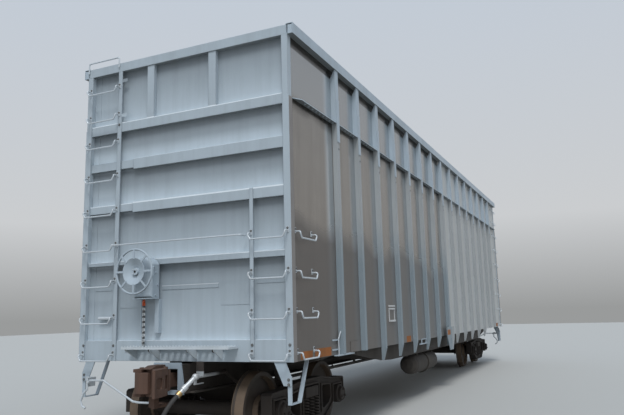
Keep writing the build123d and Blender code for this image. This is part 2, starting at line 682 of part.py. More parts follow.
# Train line: straight spans of pipe that cross under the floor, joined at elbows
elbow_radius = 27.0
end_out = 100.0
rise_at = half_length - 545
fall_at = half_length - 945
cross_at = 600.0
pipe_line = [
    (-half_length - end_out, -pipe_y, pipe_end_z), (-rise_at, -pipe_y, pipe_end_z), (-fall_at, -pipe_y, pipe_low_z),
    (-cross_at, -pipe_y, pipe_low_z), (cross_at, pipe_y, pipe_low_z), (fall_at, pipe_y, pipe_low_z),
    (rise_at, pipe_y, pipe_end_z), (half_length + end_out, pipe_y, pipe_end_z),
]
elbow_gap = 8.0  # the spans stop this far from the middle of an elbow
spans = []
for start, end in zip(pipe_line[:-1], pipe_line[1:]):
    first = Vector(*start)
    run = Vector(*end) - first
    low = 0.0 if start == pipe_line[0] else elbow_gap
    high = run.length if end == pipe_line[-1] else run.length - elbow_gap
    plane = Plane(origin=first + run.normalized() * low, z_dir=run)
    spans.append(plane * Cylinder(pipe_size / 2, high - low, align=(Align.CENTER, Align.CENTER, Align.MIN)))
elbows = []
for n, point in enumerate(pipe_line[1:-1]):
    elbows.append(Pos(*point) * Sphere(elbow_radius) - spans[n] - spans[n + 1])
hangers = []
for x in (0.88, 0.54, 0.25):
    for side in (-1, 1):
        at = side * x * fall_at
        leg = block(at - 15, at + 15, side * (pipe_y - 8), side * (pipe_y + 8), pipe_low_z + pipe_size / 2,
                    flange_top + 12)
        foot = block(at - 15, at + 15, side * (pipe_y + 8), side * (flange_out - 20), flange_top, flange_top + 12)
        hangers.append(leg + foot)

# Angle cock on each end of the pipe, aimed down and out, with its handle, nut and hanger
cock_aim = Vector(-0.71, 0.31, -0.63).normalized()
cock_length = 300.0
cock_root = Vector(*pipe_line[0])
cock_tip = cock_root + cock_aim * cock_length
cock_plane = Plane(origin=cock_root, z_dir=cock_aim)
from_root = (Align.CENTER, Align.CENTER, Align.MIN)
cock = cock_plane * Cylinder(27, cock_length, align=from_root)
cock = cock + Pos(*cock_root) * Sphere(38)
cock = cock + cock_plane * Pos(0, 0, 150) * Cylinder(36, 60, align=from_root)
cock = cock + cock_plane * Pos(0, 0, cock_length - 50) * Cylinder(33, 50, align=from_root)
cock = cock + along(33, -half_length - end_out, 40 - half_length - end_out, -pipe_y, pipe_end_z)
handle_z = pipe_end_z - 80
cock = cock + block(-half_length - end_out - 20, 20 - half_length - end_out, -pipe_y - 10, 10 - pipe_y, handle_z - 8,
                    pipe_end_z)
cock = cock + block(20 - half_length - end_out, 160 - half_length - end_out, -pipe_y - 10, 10 - pipe_y, handle_z - 8,
                    handle_z + 4)
hanger_strap = end_block(-6, 6, -pipe_y - 50, 50 - pipe_y, pipe_end_z - sill_z, -8)
hanger_strap = hanger_strap + end_block(-6, 40, -pipe_y - 50, 50 - pipe_y, -8, 0)
cock = cock + hanger_strap
spans[0] = spans[0] + cock
spans[-1] = spans[-1] + half_turn(cock)
save("brake_pipe", spans + elbows + hangers)

# Air hoses hang from the angle cocks: two equal runs with one wide bend, and a coupling at the end
hose_run = 280.0
hose_drop = Vector(-0.10, 0.10, -0.99).normalized()
hose_points = [cock_tip, cock_tip + cock_aim * hose_run, cock_tip + cock_aim * hose_run + hose_drop * hose_run]
hose_turn = cock_aim.get_angle(hose_drop)
hose_radius = 0.45 * hose_run / math.tan(math.radians(hose_turn / 2))
hose_path = FilletPolyline(*hose_points, radius=[hose_radius])
print("hose radius", round(hose_radius, 1), "length", round(hose_path.length, 1))
hose = sweep(Plane(origin=hose_path @ 0, z_dir=hose_path % 0) * Circle(hose_size / 2), path=hose_path)
save_ends("hose", [hose])
coupling_plane = Plane(origin=hose_path @ 1, z_dir=hose_path % 1)
coupling = coupling_plane * Cylinder(31, 60, align=from_root)
coupling = coupling + coupling_plane * Pos(0, 18, 78) * Box(84, 60, 70)
save("hose_couplings", [coupling, half_turn(coupling)])

# Air reservoir: two dished shells bolted at a middle flange, hung from the low floor
tank_y = -web_in + tank_radius - 4
tank_z = belly_z - tank_radius - 31
ring = tank_radius + 26
tank_line = [
    (0, 0), (0, ring), (30, ring), (30, tank_radius), (tank_half_length - 170, tank_radius),
    (tank_half_length - 90, tank_radius * 0.88), (tank_half_length - 30, tank_radius * 0.58), (tank_half_length, 0),
]
half_tank = revolve(make_face(Polyline(*[(x, 0, z) for x, z in tank_line], close=True)), Axis.X)
tank = Pos(tank_x, tank_y, tank_z) * (half_tank + half_tank.mirror(Plane.YZ))
for x in (tank_x - 545, tank_x + 545):
    tank = tank + block(x - 20, x + 20, tank_y - 110, tank_y + 110, tank_z + 60, belly_z)
save("air_reservoir", [tank])

# Brake cylinder on the other side, its lever and the long rod to both trucks
cyl_x = 1500.0
cyl_y = 760.0
cyl_z = belly_z - 205
rod_y = -70.0
rod_radius = 14.0
cylinder = along(130, cyl_x - 250, cyl_x + 150, cyl_y, cyl_z) + along(150, cyl_x - 260, cyl_x - 240, cyl_y, cyl_z)
cylinder = cylinder + block(cyl_x - 200, cyl_x + 60, cyl_y - 60, cyl_y + 60, cyl_z + 100, belly_z)
cylinder = cylinder + along(22, cyl_x - 420, cyl_x - 260, cyl_y, cyl_z)
cylinder = cylinder + block(cyl_x - 460, cyl_x - 390, rod_y - 40, cyl_y + 40, cyl_z - 12, cyl_z + 12)
rod_reach = truck_centre - 515
cylinder = cylinder + along(rod_radius, -rod_reach, rod_reach, rod_y, cyl_z)
for share in (-0.99, -0.66, -0.33, -0.055, 0.55, 0.92):
    x = share * rod_reach
    cylinder = cylinder + block(x - 12, x + 12, rod_y - 22, rod_y + 22, cyl_z, sill_bottom_z + sill_web)
    cylinder = cylinder + block(x - 12, x + 12, -sill_inside, sill_inside, sill_bottom_z, sill_bottom_z + sill_web)
save("brake_cylinder", [cylinder])

# Wheel: tread, flange, dished plate and hub, turned from one profile
inner = back_to_back / 2
outer = inner + rim_width
flange_radius = tread_radius + flange_height
plate_in = tread_radius - 62
hub_radius = axle_radius + 65
wheel_line = [  # radius, distance across
    (axle_radius, inner + 8), (hub_radius, inner + 8), (hub_radius + 10, inner + 40), (plate_in, inner + 25),
    (plate_in + 12, inner), (flange_radius - 4, inner), (flange_radius, inner + 12), (tread_radius + 4, inner + 34),
    (tread_radius - 5, outer), (plate_in + 8, outer), (plate_in - 8, inner + 75), (hub_radius + 12, inner + 110),
    (hub_radius, outer + 30), (axle_radius, outer + 30),
]
one_wheel = revolve(make_face(Polyline(*[(0, y, z) for z, y in wheel_line], close=True)), Axis.Y)

# Axle with a bearing and end cap on each journal
bearing_half = 90.0
journal_end = journal_y + 155
axle_line = [  # radius, distance across
    (0, 0), (88, 0), (88, inner - 117), (axle_radius, inner - 37), (axle_radius, outer + 58), (92, outer + 76),
    (92, journal_y - bearing_half + 12), (bearing_radius, journal_y - bearing_half + 12),
    (bearing_radius, journal_y + bearing_half + 12), (98, journal_y + bearing_half + 22),
    (98, journal_end - 8), (88, journal_end), (0, journal_end),
]
half_axle = revolve(make_face(Polyline(*[(0, y, z) for z, y in axle_line], close=True)), Axis.Y)
axle = half_axle + to_left(half_axle)

# Truck side frame: an arched casting, recessed between its rims, with a window for the bolster
frame_top = 775.0
frame_foot = 190.0
jaw_roof = axle_z + bearing_radius + slide_gap
jaw_half = 146.0
jaw_low = axle_z - 60
nose = axle_offset + jaw_half + 84
window_half = 235.0
window_top = 690.0
arch_half = [  # along, height
    (330, frame_top), (720, 722), (nose - 33, 706), (nose, 680), (nose, jaw_low), (axle_offset + jaw_half, jaw_low),
    (axle_offset + jaw_half, jaw_roof), (axle_offset - jaw_half, jaw_roof), (axle_offset - jaw_half, jaw_low - 30),
    (655, 330), (400, frame_foot), (0, frame_foot),
]
arch = [(-330, frame_top)] + arch_half[:-1] + [(-x, z) for x, z in reversed(arch_half[:-1])][:-1]
window = [(-window_half, spring_foot_z), (-window_half, window_top), (window_half, window_top),
          (window_half, spring_foot_z)]
hole = [(345, 335), (345, 655), (630, 635), (630, 470), (560, 400)]


def outline_xz(points, round_off):
    """Closed outline in the side view with rounded corners."""
    face = make_face(Polyline(*[(x, 0, z) for x, z in points], close=True))
    return fillet(face.vertices(), round_off) if round_off else face


def thick(face, y0, y1):
    """A side-view outline given a thickness."""
    return Pos(0, y0, 0) * extrude(face, amount=y1 - y0, dir=(0, 1, 0))


half_thick = frame_thick / 2
rim = 24.0
recess = 26.0
mirrored_hole = [(-x, z) for x, z in hole]
frame = thick(outline_xz(arch, 0), -half_thick, half_thick)
arch_core = offset(outline_xz(arch, 0), amount=-rim, kind=Kind.INTERSECTION)
recess_area = thick(arch_core, -half_thick, recess - half_thick)
for points, round_off in ((window, 12.0), (hole, 40.0), (mirrored_hole, 40.0)):
    opening = outline_xz(points, round_off)
    border = offset(outline_xz(points, 0), amount=rim, kind=Kind.INTERSECTION)
    frame = frame - thick(opening, -half_thick, half_thick)
    recess_area = recess_area - thick(border, -half_thick, recess - half_thick)
frame = frame - recess_area
seat = block(-window_half + 10, window_half - 10, -106, 106, spring_foot_z - 16, spring_foot_z)
side_frame = Pos(0, -journal_y, 0) * (frame + seat)

# Springs stand between the seat and the end of the bolster
spring = Cylinder(spring_radius, spring_height, align=from_root)
springs = []
for x in (-155, 0, 155):
    for y in (-52, 52):
        springs.append(Pos(x, y - journal_y, spring_foot_z) * spring)

# Truck bolster: deep in the middle, with the centre bowl and side bearings on top
bolster_low = spring_foot_z + spring_height
bolster_top = 672.0
bolster_reach = journal_y + 82
bolster = slab_yz(
    [(-bolster_reach, bolster_low), (-bolster_reach, bolster_top), (bolster_reach, bolster_top),
     (bolster_reach, bolster_low), (640, bolster_low), (360, 430), (-360, 430), (-640, bolster_low)],
    45 - window_half, window_half - 45)
bowl_floor = sill_bottom_z - centre_plate_depth - slide_gap
bowl = Pos(0, 0, bolster_top) * Cylinder(215, 36, align=from_root)
bowl = bowl - Pos(0, 0, bowl_floor) * Cylinder(centre_plate_radius + 6, 60, align=from_root)
bearing = block(-110, 110, side_bearing[0] + 5, side_bearing[1] - 5, bolster_top, side_bearing_z - 6)
truck_bolster = bolster + bowl + bearing + to_left(bearing)

# Brake beams behind each wheelset, with a shoe on each wheel tread
beam_low = 455.0
beam_plan = [(300, -933), (340, -933), (380, -790), (380, 790), (340, 933), (300, 933), (300, 760), (215, 60),
             (215, -60), (300, -760)]
beam_hole = [(345, -640), (345, -40), (250, -40), (320, -640)]
beam = slab_xy(beam_plan, beam_low, beam_low + 30)
for hand in (1, -1):
    beam = beam - slab_xy([(x, hand * y) for x, y in beam_hole], beam_low, beam_low + 30)
wheel_room = across(tread_radius + 8, -900, 900, axle_offset, axle_z)
shoe = block(365, 445, -795, -715, 385, 560) - wheel_room
beams = beam - wheel_room + shoe + to_left(shoe)

# Both trucks: frames, springs, bolster and two wheelsets each
for tag, sign in (("b", -1), ("a", 1)):
    at = Pos(sign * truck_centre, 0, 0)
    save("truck_frames_" + tag, [at * side_frame, at * to_left(side_frame)])
    save("truck_springs_" + tag, [at * piece for piece in springs + [to_left(s) for s in springs]])
    save("truck_bolster_" + tag, [at * truck_bolster, at * beams, at * half_turn(beams)])
    for place, offset_x in (("outer", sign * axle_offset), ("inner", -sign * axle_offset)):
        spot = Pos(sign * truck_centre + offset_x, 0, axle_z)
        save("wheels_" + place + "_" + tag, [spot * one_wheel, spot * to_left(one_wheel)])
        save("axle_" + place + "_" + tag, [spot * axle])

for name, shape in parts.items():
    export_step(shape, "parts/" + name + ".step")
    print(name, len(shape.solids()), round(shape.volume / 1e6, 2))
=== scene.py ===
import math

import bpy
from mathutils import Matrix, Vector


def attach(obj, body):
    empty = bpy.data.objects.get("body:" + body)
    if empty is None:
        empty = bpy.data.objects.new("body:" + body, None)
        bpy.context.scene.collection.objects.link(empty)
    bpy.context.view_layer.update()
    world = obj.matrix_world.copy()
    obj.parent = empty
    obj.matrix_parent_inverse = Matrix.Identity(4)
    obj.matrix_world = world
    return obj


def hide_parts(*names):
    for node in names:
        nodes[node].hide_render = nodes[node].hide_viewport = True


# High-sided open gondola wagon in light grey paint with bare metal sides.
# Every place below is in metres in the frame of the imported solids.
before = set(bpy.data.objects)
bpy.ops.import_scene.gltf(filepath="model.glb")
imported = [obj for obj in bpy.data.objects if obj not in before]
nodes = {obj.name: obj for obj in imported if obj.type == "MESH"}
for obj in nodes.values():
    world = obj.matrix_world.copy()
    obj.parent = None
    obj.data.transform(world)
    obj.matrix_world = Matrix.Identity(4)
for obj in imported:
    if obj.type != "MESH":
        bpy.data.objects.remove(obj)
scene = bpy.context.scene
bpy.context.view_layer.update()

# Camera: low and close to the handbrake end, a little to the right, tilted up along the wagon.
# The three rows are its right, its up and the way back from its view.
lens = bpy.data.cameras.new("camera")
lens.sensor_width = 36.0
lens.lens = 36.583
camera = bpy.data.objects.new("camera", lens)
axes = Matrix(((0.42021, -0.90708, -0.02496), (-0.14036, -0.09214, 0.9858), (-0.89651, -0.41074, -0.16604)))
camera.matrix_world = Matrix.Translation((-13.8253, -4.7475, 1.611)) @ axes.transposed().to_4x4()
scene.collection.objects.link(camera)
scene.camera = camera
scene.view_settings.view_transform = "Standard"

# Air hoses: reinforced rubber, pushed onto the angle cocks and hanging free with a coupling at the end.
# Each follows the same three points as the solid hose. A point's own radius swells the curve's box, so it is
# small and the bevel makes up for it.
cock_length, half_run = 0.300, 0.280
cock_root = Vector((-7.545, -0.330, 0.930))
cock_aim = Vector((-0.71, 0.31, -0.63)).normalized()
hose_drop = Vector((-0.10, 0.10, -0.99)).normalized()
cock_tip = cock_root + cock_aim * cock_length
hose_bend = cock_tip + cock_aim * half_run
hose_end = hose_bend + hose_drop * half_run
hose_radius, point_radius = 0.0255, 0.02
hoses = []
for tag, sign in (("b", 1), ("a", -1)):
    line = bpy.data.curves.new("hose_line_" + tag, "CURVE")
    line.dimensions = "3D"
    line.bevel_depth = hose_radius / point_radius
    line.bevel_resolution = 5
    line.resolution_u = 16
    run = line.splines.new("NURBS")
    run.points.add(2)
    for point, place in zip(run.points, (cock_tip, hose_bend, hose_end)):
        point.co = (place.x * sign, place.y * sign, place.z, 1)
        point.radius = point_radius
    run.order_u = 3
    run.use_endpoint_u = True
    hose = bpy.data.objects.new("air_hose_" + tag, line)
    scene.collection.objects.link(hose)
    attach(hose, "carbody")
    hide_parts("hose_" + tag)
    hoses.append(hose)

# Light: a soft sky, a key from high on the right of the handbrake end, and a weak fill for the running gear.
# The floor is plain and pale.
world = bpy.data.worlds.new("studio")
scene.world = world
world.use_nodes = True
sky = world.node_tree
direction = sky.nodes.new("ShaderNodeTexCoord")
height = sky.nodes.new("ShaderNodeSeparateXYZ")
ramp = sky.nodes.new("ShaderNodeValToRGB")
sky.links.new(direction.outputs["Generated"], height.inputs[0])
sky.links.new(height.outputs["Z"], ramp.inputs[0])
sky.links.new(ramp.outputs[0], sky.nodes["Background"].inputs[0])
ramp.color_ramp.elements[0].color = (0.42, 0.43, 0.43, 1)
ramp.color_ramp.elements[1].color = (0.60, 0.76, 0.98, 1)
middle = ramp.color_ramp.elements.new(0.14)
middle.color = (0.78, 0.80, 0.82, 1)
sky.nodes["Background"].inputs[1].default_value = 0.76
key = bpy.data.lights.new("key", "SUN")
key.energy = 2.05
key.angle = 0.34
sun = bpy.data.objects.new("key", key)
sun.rotation_euler = Vector((0.50, 0.25, -0.84)).to_track_quat("-Z", "Y").to_euler()
scene.collection.objects.link(sun)
glow = bpy.data.lights.new("fill", "AREA")
glow.shape = "DISK"
glow.size = 8.0
glow.energy = 120.0
fill = bpy.data.objects.new("fill", glow)
fill.location = (-20.0, -8.0, 3.0)
fill.rotation_euler = Vector((13.0, 8.0, -1.5)).to_track_quat("-Z", "Y").to_euler()
scene.collection.objects.link(fill)
ground = bpy.data.meshes.new("ground")
reach = 60
ground.from_pydata([(-reach, -reach, 0), (reach, -reach, 0), (reach, reach, 0), (-reach, reach, 0)], [],
                   [(0, 1, 2, 3)])
floor = bpy.data.objects.new("ground", ground)
scene.collection.objects.link(floor)


# Paint and metal: a few shared effects, then one material for each finish.
# The first group gives masks for blotches, streaks that run down, fine specks, dust below a wavy line,
# and for faces that look down, which take a painted shade.
def shader(tree, kind, inputs, **settings):
    """One node with its settings, and its inputs as constants or links."""
    made = tree.nodes.new(kind)
    for key, value in settings.items():
        setattr(made, key, value)
    for key, value in inputs.items():
        if isinstance(value, bpy.types.NodeSocket):
            tree.links.new(value, made.inputs[key])
        else:
            made.inputs[key].default_value = value
    return made


def maths(tree, operation, *values, clamp=False):
    """The result of a math node."""
    return shader(tree, "ShaderNodeMath", dict(enumerate(values)), operation=operation,
                  use_clamp=clamp).outputs[0]


def coordinates(tree):
    """The place on the object, split into X, Y and Z."""
    return shader(tree, "ShaderNodeSeparateXYZ",
                  {0: shader(tree, "ShaderNodeTexCoord", {}).outputs["Object"]})


def facing_of(tree):
    """The way the face looks, split into X, Y and Z."""
    return shader(tree, "ShaderNodeSeparateXYZ",
                  {0: shader(tree, "ShaderNodeNewGeometry", {}).outputs["True Normal"]})


def span(tree, value, low, high, to_low=0.0, to_high=1.0):
    """A value taken from one range to another."""
    names = {0: value, 1: low, 2: high, 3: to_low, 4: to_high}
    return shader(tree, "ShaderNodeMapRange", names, clamp=True).outputs[0]


def blend(tree, factor, first, second, how="MIX"):
    """Two colours mixed by a factor."""
    made = shader(tree, "ShaderNodeMix", {0: factor, 6: first, 7: second}, data_type="RGBA", blend_type=how)
    return made.outputs[2]


weather = bpy.data.node_groups.new("weather", "ShaderNodeTree")
for name in ("Blotch", "Streak", "Speck", "Dust", "Under"):
    weather.interface.new_socket(name, in_out="OUTPUT", socket_type="NodeSocketFloat")
place = shader(weather, "ShaderNodeTexCoord", {}).outputs["Object"]
drawn = shader(weather, "ShaderNodeMapping", {0: place, 3: (5.0, 5.0, 0.35)}).outputs[0]
blotch = shader(weather, "ShaderNodeTexNoise", {0: place, 2: 2.2, 3: 5.0, 4: 0.6}).outputs[0]
streak = shader(weather, "ShaderNodeTexNoise", {0: drawn, 2: 2.0, 3: 4.0, 4: 0.6}).outputs[0]
speck = shader(weather, "ShaderNodeTexNoise", {0: place, 2: 70.0, 3: 2.0, 4: 0.5}).outputs[0]
# The last mask picks faces that look down, for painted shade under ledges.
faces = shader(weather, "ShaderNodeNewGeometry", {}).outputs["True Normal"]
down = shader(weather, "ShaderNodeSeparateXYZ", {0: faces}).outputs["Z"]
upright = shader(weather, "ShaderNodeSeparateXYZ", {0: place}).outputs["Z"]
wavy = maths(weather, "MULTIPLY_ADD", blotch, 0.9, upright)
ends = weather.nodes.new("NodeGroupOutput")
for n, value in enumerate((
    span(weather, blotch, 0.42, 0.72), span(weather, streak, 0.44, 0.74), span(weather, speck, 0.60, 0.72),
    span(weather, wavy, 4.1, 3.2), span(weather, down, -0.3, -0.8),
)):
    weather.links.new(value, ends.inputs[n])

# The surface group rounds the light on sharp edges and adds the fine unevenness of paint or casting.
surface = bpy.data.node_groups.new("surface", "ShaderNodeTree")
for name in ("Round", "Grain", "Depth", "Waves"):
    surface.interface.new_socket(name, in_out="INPUT", socket_type="NodeSocketFloat")
surface.interface.new_socket("Normal", in_out="OUTPUT", socket_type="NodeSocketVector")
given = surface.nodes.new("NodeGroupInput").outputs
place = shader(surface, "ShaderNodeTexCoord", {}).outputs["Object"]
soft = shader(surface, "ShaderNodeBevel", {0: given["Round"]}, samples=4).outputs[0]
grain = shader(surface, "ShaderNodeTexNoise", {0: place, 2: given["Grain"], 3: 3.0}).outputs[0]
wide = shader(surface, "ShaderNodeTexNoise", {0: place, 2: 1.3, 3: 1.0}).outputs[0]
fine = shader(surface, "ShaderNodeBump",
              {"Strength": given["Depth"], "Distance": 0.002, "Height": grain, "Normal": soft})
bent = shader(surface, "ShaderNodeBump",
              {"Strength": given["Waves"], "Distance": 0.05, "Height": wide, "Normal": fine.outputs[0]})
surface.links.new(bent.outputs[0], surface.nodes.new("NodeGroupOutput").inputs[0])


def coat(name, colour, stain, amounts, metallic=0.0, roughness=0.5, edge=0.003, grain=60.0, depth=0.15,
         waves=0.0, underside_shade=0.0):
    """A finish: its colour stained by blotches, streaks, specks and dust in the given amounts, and, by a
    separate amount, darkened on faces that look down as painted shade.
    """
    made = bpy.data.materials.new(name)
    made.use_nodes = True
    tree = made.node_tree
    masks = shader(tree, "ShaderNodeGroup", {}, node_tree=weather)
    top = (*colour, 1)
    for mask, amount in zip(("Blotch", "Streak", "Speck", "Dust"), amounts):
        if amount:
            factor = span(tree, masks.outputs[mask], 0.0, 1.0, 0.0, amount)
            top = blend(tree, factor, top, (*stain, 1))
    # Faces that look down are darkened toward a dark olive as painted shade.
    if underside_shade:
        top = blend(tree, span(tree, masks.outputs["Under"], 0.0, 1.0, 0.0, underside_shade), top,
                    (0.075, 0.072, 0.060, 1))
    bumps = shader(tree, "ShaderNodeGroup", {}, node_tree=surface)
    for key, value in (("Round", edge), ("Grain", grain), ("Depth", depth), ("Waves", waves)):
        bumps.inputs[key].default_value = value
    body = tree.nodes["Principled BSDF"]
    if not isinstance(top, tuple):
        tree.links.new(top, body.inputs["Base Color"])
    else:
        body.inputs["Base Color"].default_value = top
    rough = span(tree, masks.outputs["Blotch"], 0.0, 1.0, roughness, min(1.0, roughness + 0.18))
    tree.links.new(rough, body.inputs["Roughness"])
    tree.links.new(bumps.outputs[0], body.inputs["Normal"])
    body.inputs["Metallic"].default_value = metallic
    return made


grey = coat("grey_paint", (0.37, 0.44, 0.50), (0.25, 0.27, 0.27), (0.14, 0.25, 0.05, 0.10), 0.0, 0.40,
            underside_shade=0.72)
end_grey = coat("end_paint", (0.37, 0.43, 0.475), (0.19, 0.215, 0.23), (0.12, 0.20, 0.05, 0.0), 0.0, 0.38,
                0.014, underside_shade=0.6)
post_grey = coat("post_paint", (0.335, 0.355, 0.365), (0.20, 0.22, 0.22), (0.14, 0.25, 0.05, 0.10), 0.0, 0.42,
                 underside_shade=0.72)
grating = coat("grating_steel", (0.58, 0.64, 0.68), (0.30, 0.31, 0.30), (0.3, 0.1, 0.1, 0.1), 0.2, 0.5)
bars = coat("bar_steel", (0.52, 0.57, 0.61), (0.30, 0.30, 0.28), (0.25, 0.1, 0.1, 0.1), 0.15, 0.38, 0.0015)
black = coat("frame_black", (0.022, 0.020, 0.019), (0.085, 0.072, 0.060), (0.3, 0.35, 0.15, 0.3), 0.0, 0.75)
casting = coat("truck_casting", (0.014, 0.012, 0.011), (0.055, 0.040, 0.030), (0.3, 0.2, 0.2, 0.25), 0.1,
               0.75, 0.006, 90.0, 0.5)
rusty = coat("coupler_casting", (0.055, 0.031, 0.023), (0.15, 0.085, 0.058), (0.55, 0.35, 0.3, 0.2), 0.2,
             0.68, 0.009, 80.0, 0.6)
rubber = coat("hose_rubber", (0.016, 0.016, 0.017), (0.07, 0.065, 0.06), (0.3, 0.0, 0.15, 0.25), 0.0, 0.62,
              0.001)
silver = coat("cock_silver", (0.55, 0.57, 0.58), (0.25, 0.22, 0.19), (0.35, 0.1, 0.2, 0.1), 0.7, 0.38, 0.003)
brass = coat("brass", (0.55, 0.38, 0.18), (0.20, 0.13, 0.07), (0.4, 0.0, 0.2, 0.1), 0.9, 0.4, 0.002)
orange = coat("orange_reflector", (0.30, 0.090, 0.006), (0.12, 0.05, 0.012), (0.4, 0.35, 0.1, 0.0), 0.0, 0.55,
              0.0005)
white = coat("white_paint", (0.56, 0.58, 0.59), (0.35, 0.33, 0.30), (0.2, 0.2, 0.1, 0.2), 0.0, 0.4, 0.0005)
bolt_steel = coat("bolt_steel", (0.16, 0.165, 0.165), (0.08, 0.07, 0.06), (0.3, 0.0, 0.2, 0.0), 0.4, 0.5,
                  0.001)
# Holes and sockets take this near black as painted shade.
hole_shade = coat("dark_hole", (0.02, 0.02, 0.02), (0.06, 0.05, 0.04), (0.2, 0.0, 0.1, 0.0), 0.0, 0.9, 0.0005)

# End ribs: a painted highlight, a pale band on the rounded upper edge of each rib and of the sill between the
# stiles, stands in for the sky light that edge catches.
tree = end_grey.node_tree
body = tree.nodes["Principled BSDF"]
parts = coordinates(tree)
away = maths(tree, "LESS_THAN", parts.outputs["X"], 0.0)
hand = span(tree, away, 0.0, 1.0, -1.0, 1.0)
across = maths(tree, "MULTIPLY", parts.outputs["Y"], hand)
wall_low, wall_high = 1.2, 5.2
edges = shader(tree, "ShaderNodeValToRGB", {0: span(tree, parts.outputs["Z"], wall_low, wall_high)})
stops = edges.color_ramp.elements
edges.color_ramp.interpolation = "CONSTANT"
stops[0].color = stops[1].color = (0, 0, 0, 1)
edge_height, over = 0.018, 0.002
for top in (1.345, 2.353, 3.107, 3.687, 4.210, 5.146):
    stops.new((top - edge_height - wall_low) / (wall_high - wall_low)).color = (1, 1, 1, 1)
    stops.new((top + over - wall_low) / (wall_high - wall_low)).color = (0, 0, 0, 1)
painted_rib_highlight = shader(tree, "ShaderNodeRGBToBW", {0: edges.outputs[0]}).outputs[0]
for centre, half, top in ((0.9825, 0.033, 5.0), (-1.0355, 0.025, 3.105)):
    beside = maths(tree, "COMPARE", across, centre, half)
    below = maths(tree, "LESS_THAN", parts.outputs["Z"], top)
    stile = maths(tree, "MULTIPLY", beside, below)
    painted_rib_highlight = maths(tree, "SUBTRACT", painted_rib_highlight, stile, clamp=True)
under = body.inputs["Base Color"].links[0].from_socket
# The pale colour is the painted highlight.
tree.links.new(blend(tree, painted_rib_highlight, under, (0.68, 0.74, 0.78, 1)), body.inputs["Base Color"])

# End sheet: the same paint with painted shade and light, dark at the top of each panel as painted shade under
# its rib and lighter toward the rib below as painted light from that rib's upper face.
end_sheet = coat("end_sheet_paint", (0.37, 0.43, 0.475), (0.19, 0.215, 0.23), (0.12, 0.20, 0.05, 0.0), 0.0,
                 0.38)
tree = end_sheet.node_tree
body = tree.nodes["Principled BSDF"]
parts = coordinates(tree)
painted_rib_shade = shader(tree, "ShaderNodeValToRGB", {0: span(tree, parts.outputs["Z"], wall_low, wall_high)})
stops = painted_rib_shade.color_ramp.elements
stops[0].color = stops[1].color = (1, 1, 1, 1)
for low, high in ((1.340, 2.275), (2.353, 2.973), (3.107, 3.548), (3.687, 4.080), (4.210, 4.930)):
    for z, amount in ((low, 1.0), (low + 0.10, 0.86), (high - 0.20, 0.57), (high - 0.02, 0.34)):
        stops.new((z - wall_low) / (wall_high - wall_low)).color = (amount, amount, amount, 1)
under = body.inputs["Base Color"].links[0].from_socket
lighter = blend(tree, 1.0, under, (1.28, 1.28, 1.28, 1), "MULTIPLY")
tree.links.new(blend(tree, 1.0, lighter, painted_rib_shade.outputs[0], "MULTIPLY"), body.inputs["Base Color"])

# Side posts: a darker, greyer copy of the paint, darker and bluer still low down on the near half.
tree = post_grey.node_tree
body = tree.nodes["Principled BSDF"]
parts = coordinates(tree)
darker_low = maths(tree, "MULTIPLY", span(tree, parts.outputs["Z"], 3.0, 2.3),
               span(tree, parts.outputs["X"], 0.12, 0.08))
under = body.inputs["Base Color"].links[0].from_socket
tree.links.new(blend(tree, darker_low, under, (0.215, 0.262, 0.292, 1)), body.inputs["Base Color"])

# Side metal: bare aluminium plate, half a mirror. Below a wavy line that sinks toward the middle it is rougher
# and less metallic, and its colour holds a painted reflection of the dark ground. Past the middle post it is
# lighter, rougher and silvery. The strip just before each post holds a painted reflection of the post's bluish
# side, painted shade darkens the sheet under the waist shelf, and a painted reflection of the chord's
# underside darkens it just under the top chord.
side = coat("side_aluminium", (0.289, 0.262, 0.232), (0.19, 0.168, 0.148), (0.25, 0.40, 0.03, 0.0), 0.85,
            0.20, 0.002, 25.0, 0.04, 0.10, 0.5)
tree = side.node_tree
body = tree.nodes["Principled BSDF"]
place = shader(tree, "ShaderNodeTexCoord", {}).outputs["Object"]
parts = shader(tree, "ShaderNodeSeparateXYZ", {0: place})
wander = shader(tree, "ShaderNodeTexNoise", {0: place, 2: 1.1, 3: 2.0}).outputs[0]
level = maths(tree, "MULTIPLY_ADD", wander, 0.7, parts.outputs["Z"])
level = maths(tree, "MULTIPLY_ADD", parts.outputs["X"], 0.042, level)
silver_part = span(tree, parts.outputs["X"], -0.05, 0.05)
low_zone = maths(tree, "SUBTRACT", span(tree, level, 2.90, 2.64), silver_part, clamp=True)
under = body.inputs["Base Color"].links[0].from_socket
upper = blend(tree, span(tree, parts.outputs["Z"], 4.15, 4.25), under, (0.36, 0.355, 0.345, 1))
post_pitch = 0.875
# Painted reflection of each post's bluish side on the strip just before it.
beside = maths(tree, "FLOORED_MODULO", parts.outputs["X"], post_pitch)
post_reflection = maths(tree, "MULTIPLY", span(tree, beside, 0.58, 0.72, 0.0, 0.65),
              span(tree, parts.outputs["X"], -6.50, -6.30))
with_post_reflection = blend(tree, post_reflection, upper, (0.60, 0.66, 0.70, 1))
toward_middle = span(tree, parts.outputs["X"], -6.2, -0.5)
# Painted reflection of the dark ground below the wavy line, darkest near the end.
painted_ground_reflection = blend(tree, toward_middle, (0.118, 0.103, 0.092, 1), (0.165, 0.168, 0.168, 1))
darkened = blend(tree, span(tree, low_zone, 0.0, 1.0, 0.0, 0.85), with_post_reflection, painted_ground_reflection)
